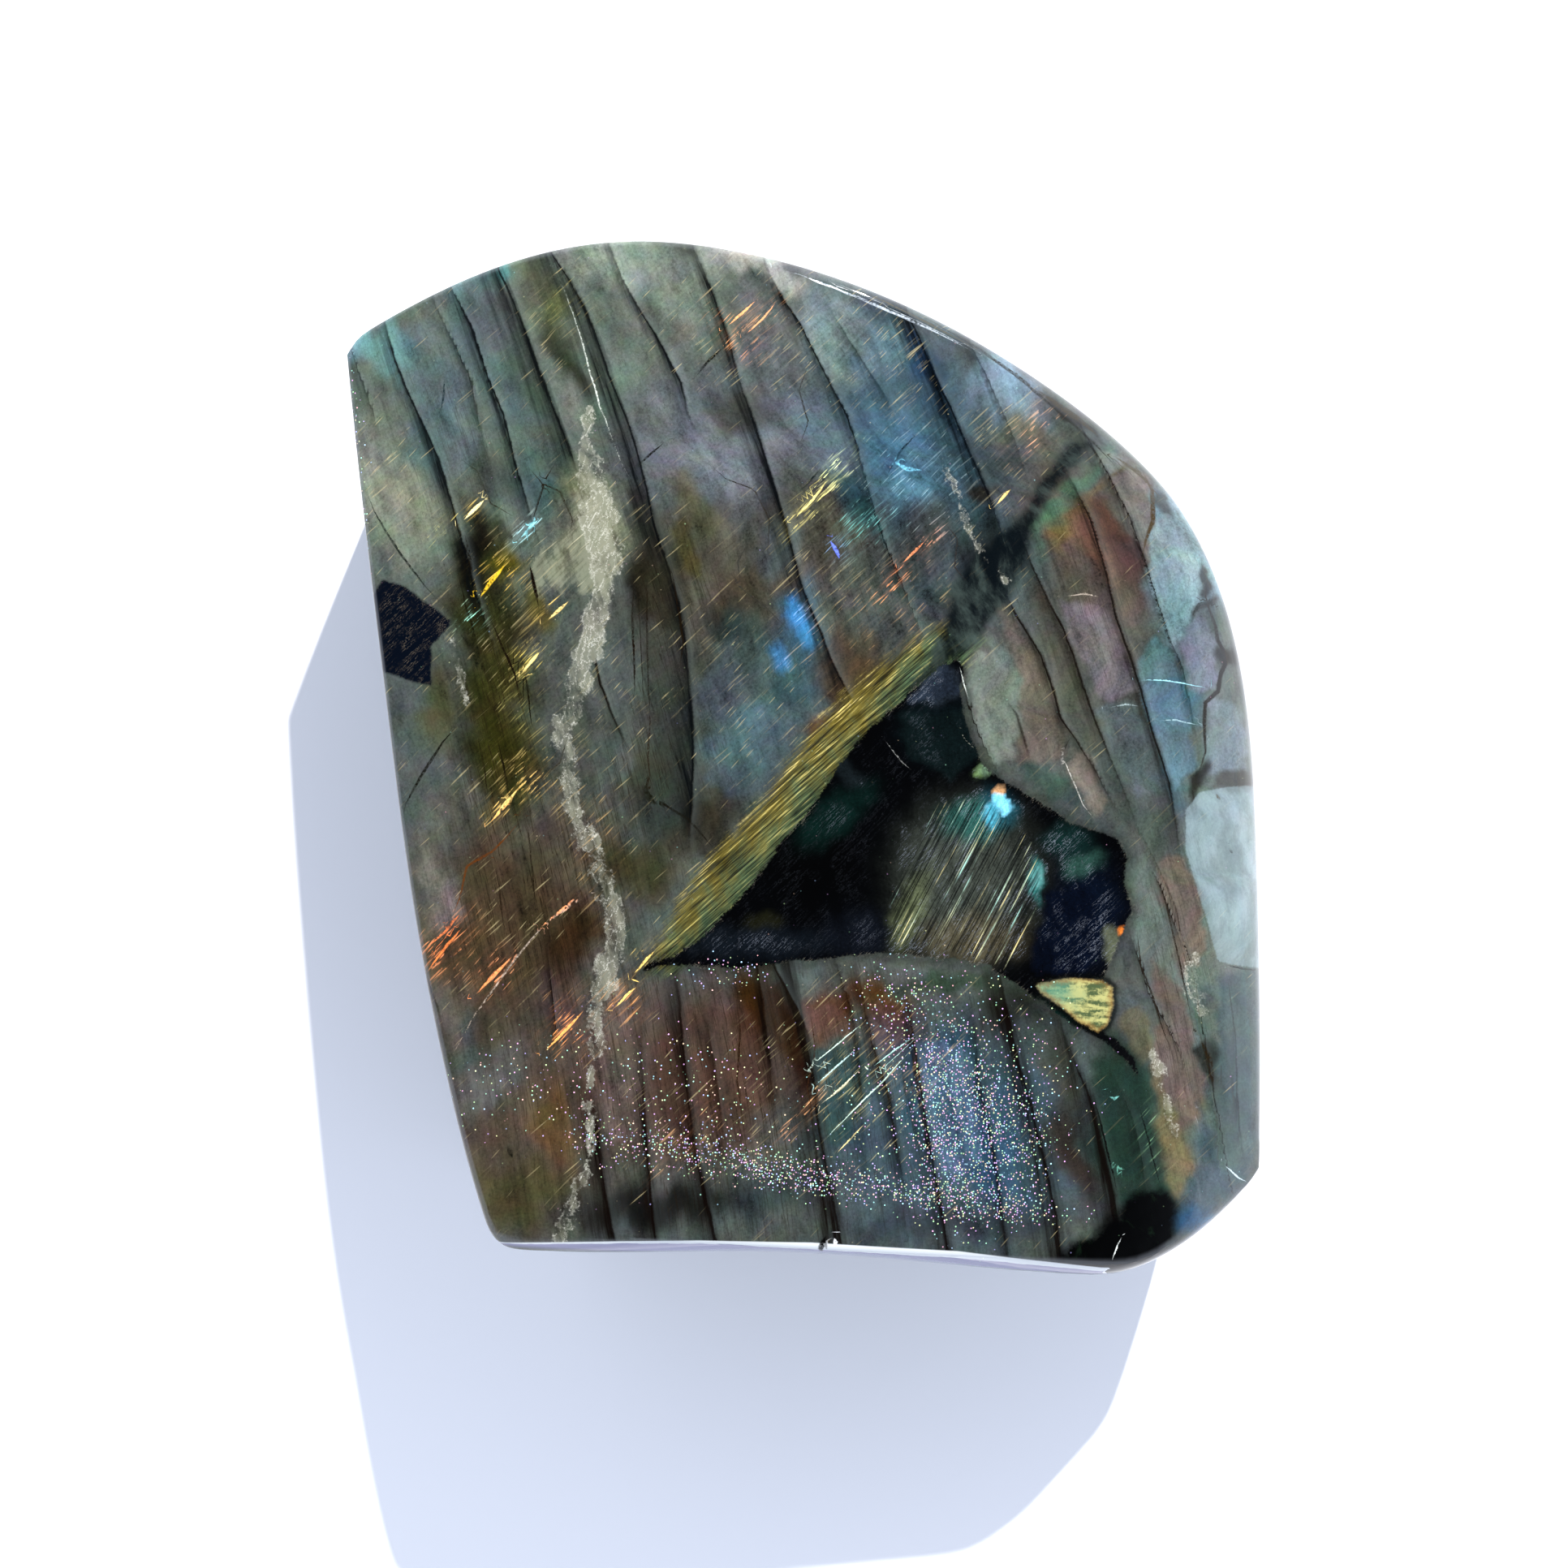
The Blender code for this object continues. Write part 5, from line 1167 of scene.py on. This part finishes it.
def brightNeedles(p, colour):             # in clusters and loose
    g = p.g
    flash = g.attribute("flash")
    strong = g.node("ShaderNodeVectorMath", {"operation": "LENGTH"}, {0: flash}, 1)
    patchy = (p.mottle * 4.0 + p.brush * 2.0 + 0.5).unit()
    inFlash = (strong * 1.1 * patchy).low(1.0)
    keep = (p.needly * 0.36 * patchy + 0.05 + inFlash * 0.62).low(0.75) * p.z.ramp(22.0, 28.0)
    middle, middleLight = p.needles("middle", -4, keep, "3D")
    short, shortLight = p.needles("short", 4, keep * 0.7)
    long, longLight = p.needles("long", 0, keep * 0.5)
    glowing = g.mix(1.0, flash, g.grey(patchy * (p.brush * 0.35 + 0.03).top(0.0)), "MULTIPLY")
    colour = g.mix(1.0, colour, glowing, "ADD")
    pale = g.mix(0.42, colour, ink("needle"))
    bright = g.mix(1.0, g.mix(0.3, colour, pale), flash, "ADD")
    tinted = g.mix(strong.ramp(0.02, 0.15), pale, bright)
    for mask, light in ((long, longLight), (middle, middleLight), (short, shortLight)):
        lit = (0.12 + light * light * 0.95).low(1.0) * (0.7 + inFlash * 0.3)
        colour = g.mix(mask * lit, colour, tinted)
    p.loose = middle * middleLight        # the block and the gold band show these again
    return colour


def paleSlab(p, colour):                  # on the right side
    tint = p.g.mix(p.mottle.ramp(-0.1, 0.15), ink("slab dark"), ink("slab light"))
    return p.g.mix((p.inside["slab"] + p.ragged * 0.25).ramp(-0.12, 0.12) * 0.32, colour, tint)


def beigeBlock(p, colour):                # at the head of the long vein
    g = p.g
    grain = (p.mottle + p.brush * 0.8 + 0.5).ramp(0.32, 0.62)
    tint = g.mix(grain, ink("block dark"), ink("block light"))
    rightSide = (p.x + p.y * 0.5 + 13.6 + p.wobble * 3.0).ramp(0.0, 4.0)
    laced = (p.lace * rightSide * 0.55 + p.loose * 0.7).low(1.0)
    tint = g.mix(laced, tint, ink("block lace"))
    inside = (p.inside["block"] + p.ragged * 0.5).ramp(-0.15, 0.35)
    return g.mix(inside * (p.mottle * 5.0 + 0.36).top(0.05).low(0.55), colour, tint)


def goldBand(p, colour):                  # gold and green, along the dark wedge
    g = p.g
    run, off = p.turned(stone["bandAngle"])
    fromTop = off - run * 0.09            # 1 at the band's upper left edge, -6 at the wedge
    greener = (p.y * 0.02 - fromTop * 0.22 + p.mottle * 3.0).ramp(-0.1, 1.2)
    gold = g.mix(greener, ink("band gold"), ink("band green"))
    fibre = g.noise("band", g.join(run * 0.22, off * 4.6, p.z))
    gold = g.mix(1.0, gold, g.grey(0.08 + fibre.ramp(0.32, 0.72) * 1.1), "MULTIPLY")
    upperEdge = (fromTop + p.mottle * 5.0).ramp(-2.4, -0.4)
    bright = fibre.ramp(0.57, 0.70) * (0.35 + upperEdge * 0.65) + p.loose * 0.7
    gold = g.mix(bright.low(1.0) * 0.8, gold, ink("band needle"))
    return g.mix((p.inside["band"] + p.ragged * 1.3 + p.brush * 2.5).ramp(-0.6, 1.5) * 0.9, colour, gold)


def darkDiagonal(p, colour):              # from the wedge's head up to the right edge
    g = p.g
    inside = (p.inside["diagonal"] + 0.1 + p.ragged * 1.2 + p.mottle * 2.0).ramp(-0.7, 0.6)
    tint = g.mix((p.mottle + 0.5).ramp(0.42, 0.75), ink("diagonal dark"), ink("diagonal light"))
    return g.mix(inside * 0.94, colour, tint)


def blackWedge(p, colour):                # with its glows and its window of fine rays
    g = p.g
    wedge = p.inside["wedge"]
    glow = g.attribute("glow")
    inner = g.mix(1.0, glow, g.grey((1.0 + p.mottle * 2.6 + p.fine * 1.6).top(0.05)), "MULTIPLY")
    lit = g.split(glow)[2].ramp(0.0035, 0.006) * 0.55 + 0.04
    inner = g.mix(p.scratch * lit, inner, ink("wedge scratch"))
    run, off = p.turned(stone["rayAngle"])
    rays = g.noise("rays", g.join(off * 6.4, run * 0.12, p.z * 0.1))
    greener = g.noise("rayTone", g.join(off * 0.6, run * 0.1, p.z)).ramp(0.35, 0.65)
    inWindow = (p.inside["window"] + p.ragged * 0.8).ramp(-0.3, 0.6)
    shown = inWindow * rays.ramp(0.62, 0.72) * (p.mottle * 5.0 + 0.55).top(0.12).low(1.0) * 0.85
    inner = g.mix(shown, inner, g.mix(greener, ink("ray gold"), ink("ray green")))
    inner = g.mix(inWindow * rays.ramp(0.50, 0.38) * 0.75, inner, ink("ray gap"))
    shade = (wedge + 1.5 + p.wobble * 2.5 + p.mottle * 4.0).ramp(0.0, 1.6)
    colour = g.mix(shade * 0.5, colour, ink("wedge shade"))
    colour = g.mix((wedge + p.ragged * 0.8 + p.mottle * 0.8).ramp(-0.14, 0.14), colour, inner)
    rim = abs(wedge + p.ragged * 1.2).ramp(0.4, 0.05)
    return g.mix(rim * p.scratch * 0.8, colour, ink("wedge rim"))


def shellPiece(p, colour):                # yellow piece at the wedge's lower right
    g = p.g
    shell = p.inside["shell"]
    grain = g.noise("shell", g.join(p.lean * 0.4, p.y * 1.6, p.z)) + p.fine * 0.4
    tint = g.mix(grain.ramp(0.38, 0.62), ink("shell dark"), ink("shell light"))
    tint = g.mix((p.x - 30.5 + p.wobble * 6).ramp(1.5, -2.0) * 0.7, tint, ink("shell teal"))
    tint = g.mix((shell + p.wobble * 1.5 + p.fine).ramp(0.9, 0.1) * 0.55, tint, ink("shell rim"))
    inside = (shell + p.ragged * 0.35).ramp(-0.1, 0.3)
    gap = (shell + 0.5 + p.wobble).ramp(-0.3, 0.3) * (1.0 - inside)
    colour = g.mix(gap * 0.8, colour, ink("shell gap"))
    return g.mix(inside, colour, tint)


def darkPatch(p, colour):                 # at the left edge
    tint = p.g.mix(p.scratch * 0.35, ink("patch dark"), ink("patch scratch"))
    return p.g.mix((p.inside["patch"] + p.ragged * 0.5).ramp(-0.15, 0.25), colour, tint)


def darkCorner(p, colour):                # at the foot's right end
    tint = p.g.mix(p.mottle.ramp(0.05, 0.25), ink("corner dark"), ink("corner green"))
    return p.g.mix((p.inside["corner"] + p.wobble * 2.2 + p.fine).ramp(-0.8, 0.8), colour, tint)


def paleVeins(p, colour):
    g = p.g
    inside = (p.inVein + p.wobble * 3.2 + p.fine * 1.0 + p.mottle * 2.4).ramp(-0.15, 0.5)
    cloudy = (0.40 + p.mottle * 4.0 + p.streaks * 1.5).top(0.05).low(0.9)
    rim = inside * (1.0 - inside) * 1.5 * (p.fine * 5.0 + p.mottle * 4.0 + 0.5)
    tint = g.mix(cloudy, colour, ink("vein dark"))
    tint = g.mix((p.lace * 0.8 + rim).top(0.0).low(0.9), tint, ink("vein light"))
    return g.mix(inside * stone["veinShows"], colour, tint)


# the flat base in plain stone colour, and along its front the strip painted pale and lavender grey as
# reflections of the bright and the shaded table
def sawnFootWithPaintedReflections(p, colour):
    g = p.g
    sawn, paintedShadowReflectionFrom, flat = g.split(g.attribute("edges"))
    plain = g.mix((0.55 + p.mottle * 1.5).unit(), colour, ink("plain base"))
    strip = g.mix((paintedShadowReflectionFrom + p.wobble * 0.3).ramp(-0.05, 0.05), ink("sawn strip painted reflection"), ink("sawn strip painted shadow reflection"))
    return g.mix(sawn.ramp(-0.08, 0.08), colour, g.mix(flat, strip, plain))


def singleStrokes(p, colour):
    g = p.g
    offset, place, strength = g.split(g.attribute("strokePlace"))
    jag = (p.wobble * 0.25 + p.fine * 0.22) / p.halfWidth.top(0.12)
    inside = (1.0 - place * place - abs(offset + jag)).ramp(0.0, 0.55)
    broken = (strength + p.mottle * 2.4 + p.fine * 2.6 - 0.05).low(1.0).top(0.0)
    return g.mix(inside * broken, colour, g.attribute("strokeColour"))


# painted glints: tiny bright dots in the base colour that stand in for sparkles of light on the polish
def paintedGlintDots(p, colour):
    g = p.g
    cell = g.cells(p.space, stone["paintedGlintCells"])
    chance, hue, light = g.split(cell.pick(1))
    dot = cell.ramp(0.44, 0.20) * (chance - (0.994 - p.sparkle * 0.66)).ramp(0.0, 0.02)
    tint = g.node("ShaderNodeCombineColor", {"mode": "HSV"}, {0: hue, 1: stone["paintedGlintColour"], 2: 1.0})
    return g.mix((dot * (0.35 + light * 0.65) * stone["paintedGlint"]).low(1.0), colour, tint)


def stoneMaterial():
    material = bpy.data.materials.new("polishedLabradorite")
    material.use_nodes = True
    tree = material.node_tree
    shader = tree.nodes["Principled BSDF"]
    g = Graph(tree)
    p = Pattern(g)
    colour = g.attribute("ground")
    for layer in (bodyColour, faintLines, fractures, brightNeedles, paleSlab, beigeBlock, goldBand,
                  darkDiagonal, blackWedge, shellPiece, darkPatch, darkCorner, paleVeins, sawnFootWithPaintedReflections,
                  singleStrokes, paintedGlintDots):
        colour = layer(p, colour)
    tree.links.new(colour.out, shader.inputs["Base Color"])
    shader.inputs["Roughness"].default_value = 0.5
    shader.inputs["Coat Weight"].default_value = 1.0
    shader.inputs["Coat Roughness"].default_value = stone["polish"]
    shader.inputs["Specular IOR Level"].default_value = 0.0
    print("stone's material made")
    return material


# the stone's finished mesh
def makeStone():
    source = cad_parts[stone["node"]]
    piece = source.copy()
    piece.data = source.data.copy()
    piece.name = "stoneBody"
    bpy.context.scene.collection.objects.link(piece)
    bpy.ops.object.select_all(action="DESELECT")
    piece.select_set(True)
    bpy.context.view_layer.objects.active = piece
    bpy.ops.object.mode_set(mode="EDIT")
    bpy.ops.mesh.select_mode(type="EDGE")
    bpy.ops.mesh.select_all(action="SELECT")
    bpy.ops.mesh.remove_doubles(threshold=1e-6)
    bpy.ops.mesh.tris_convert_to_quads()
    bpy.ops.mesh.normals_make_consistent(inside=False)
    bpy.ops.mesh.select_all(action="DESELECT")
    bpy.ops.mesh.edges_select_sharp(sharpness=math.radians(stone["sharpEdge"]))
    bpy.ops.transform.edge_crease(value=stone["crispness"])
    bpy.ops.object.mode_set(mode="OBJECT")
    smooth = piece.modifiers.new("refine", "SUBSURF")
    smooth.levels = stone["refine"]
    smooth.render_levels = stone["refine"]
    bpy.ops.object.modifier_apply(modifier=smooth.name)
    bpy.ops.object.mode_set(mode="EDIT")
    bpy.ops.mesh.select_mode(type="FACE")
    bpy.ops.mesh.select_all(action="DESELECT")
    bpy.ops.object.mode_set(mode="OBJECT")
    for face in piece.data.polygons:
        face.select = face.normal.z > stone["faceUp"]
    bpy.ops.object.mode_set(mode="EDIT")
    bpy.ops.mesh.subdivide(number_cuts=stone["faceCuts"])
    bpy.ops.object.mode_set(mode="OBJECT")
    bpy.ops.object.shade_smooth()
    paintFields(piece.data)
    piece.data.materials.clear()
    piece.data.materials.append(stoneMaterial())
    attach(piece, "root")
    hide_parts(stone["node"])
    piece.data.calc_loop_triangles()
    print("stone", len(piece.data.loop_triangles), "triangles")


makeStone()

# room, light and camera
room = {
    "paper": (235, 235, 238),
    "paperSize": 3.0,          # m
    "sunStrength": 6.6,
    "sunHeight": 35.0,         # degrees above the table
    "sunFrom": 74.7,           # degrees, anticlockwise from +X
    "sunSize": 1.0,            # degrees across, which sets the shadow's edge
    "sunColour": (1.0, 0.97, 0.92),
    "sky": (0.93, 1.02, 1.21),
    "skyAbove": (0.02, 0.022, 0.026),     # straight up, where the camera shades the stone
    "skyStrength": 1.88,
    "cameraAt": (-0.00235, -0.0037, 0.255),
    "cameraTurn": 4.0,         # degrees
    "lens": 46.58,             # mm, on a sensor 36 mm wide
}


def makePaper():
    bpy.ops.object.select_all(action="DESELECT")
    bpy.ops.mesh.primitive_plane_add(size=room["paperSize"])
    paper = bpy.context.object
    paper.name = "paper"
    material = bpy.data.materials.new("whitePaper")
    material.use_nodes = True
    shader = material.node_tree.nodes["Principled BSDF"]
    shader.inputs["Base Color"].default_value = rgb(room["paper"])
    shader.inputs["Roughness"].default_value = 0.9
    paper.data.materials.append(material)


def makeSun():
    height = math.radians(room["sunHeight"])
    turn = math.radians(room["sunFrom"])
    level = math.cos(height)
    towards = Vector((math.cos(turn) * level, math.sin(turn) * level, math.sin(height)))
    light = bpy.data.lights.new("sun", "SUN")
    light.energy = room["sunStrength"]
    light.angle = math.radians(room["sunSize"])
    light.color = room["sunColour"]
    sun = bpy.data.objects.new("sun", light)
    sun.rotation_euler = towards.to_track_quat("Z", "Y").to_euler()
    bpy.context.scene.collection.objects.link(sun)


def makeSky():
    world = bpy.data.worlds.new("sky")
    bpy.context.scene.world = world
    world.use_nodes = True
    g = Graph(world.node_tree)
    _, _, up = g.split(g.node("ShaderNodeTexCoord", None, None, 0))
    sky = g.mix(up.ramp(0.90, 0.55), (*room["skyAbove"], 1), (*room["sky"], 1))
    background = world.node_tree.nodes["Background"]
    world.node_tree.links.new(sky.out, background.inputs["Color"])
    background.inputs["Strength"].default_value = room["skyStrength"]


def makeCamera():
    lens = bpy.data.cameras.new("camera")
    lens.lens = room["lens"]
    lens.sensor_width = 36.0
    lens.clip_start = 0.01
    camera = bpy.data.objects.new("camera", lens)
    camera.location = room["cameraAt"]
    camera.rotation_euler = Euler((0.0, 0.0, math.radians(room["cameraTurn"])))
    bpy.context.scene.collection.objects.link(camera)
    bpy.context.scene.camera = camera
    bpy.context.scene.view_settings.view_transform = "Standard"


makePaper()
makeSun()
makeSky()
makeCamera()
print("room, light and camera set")
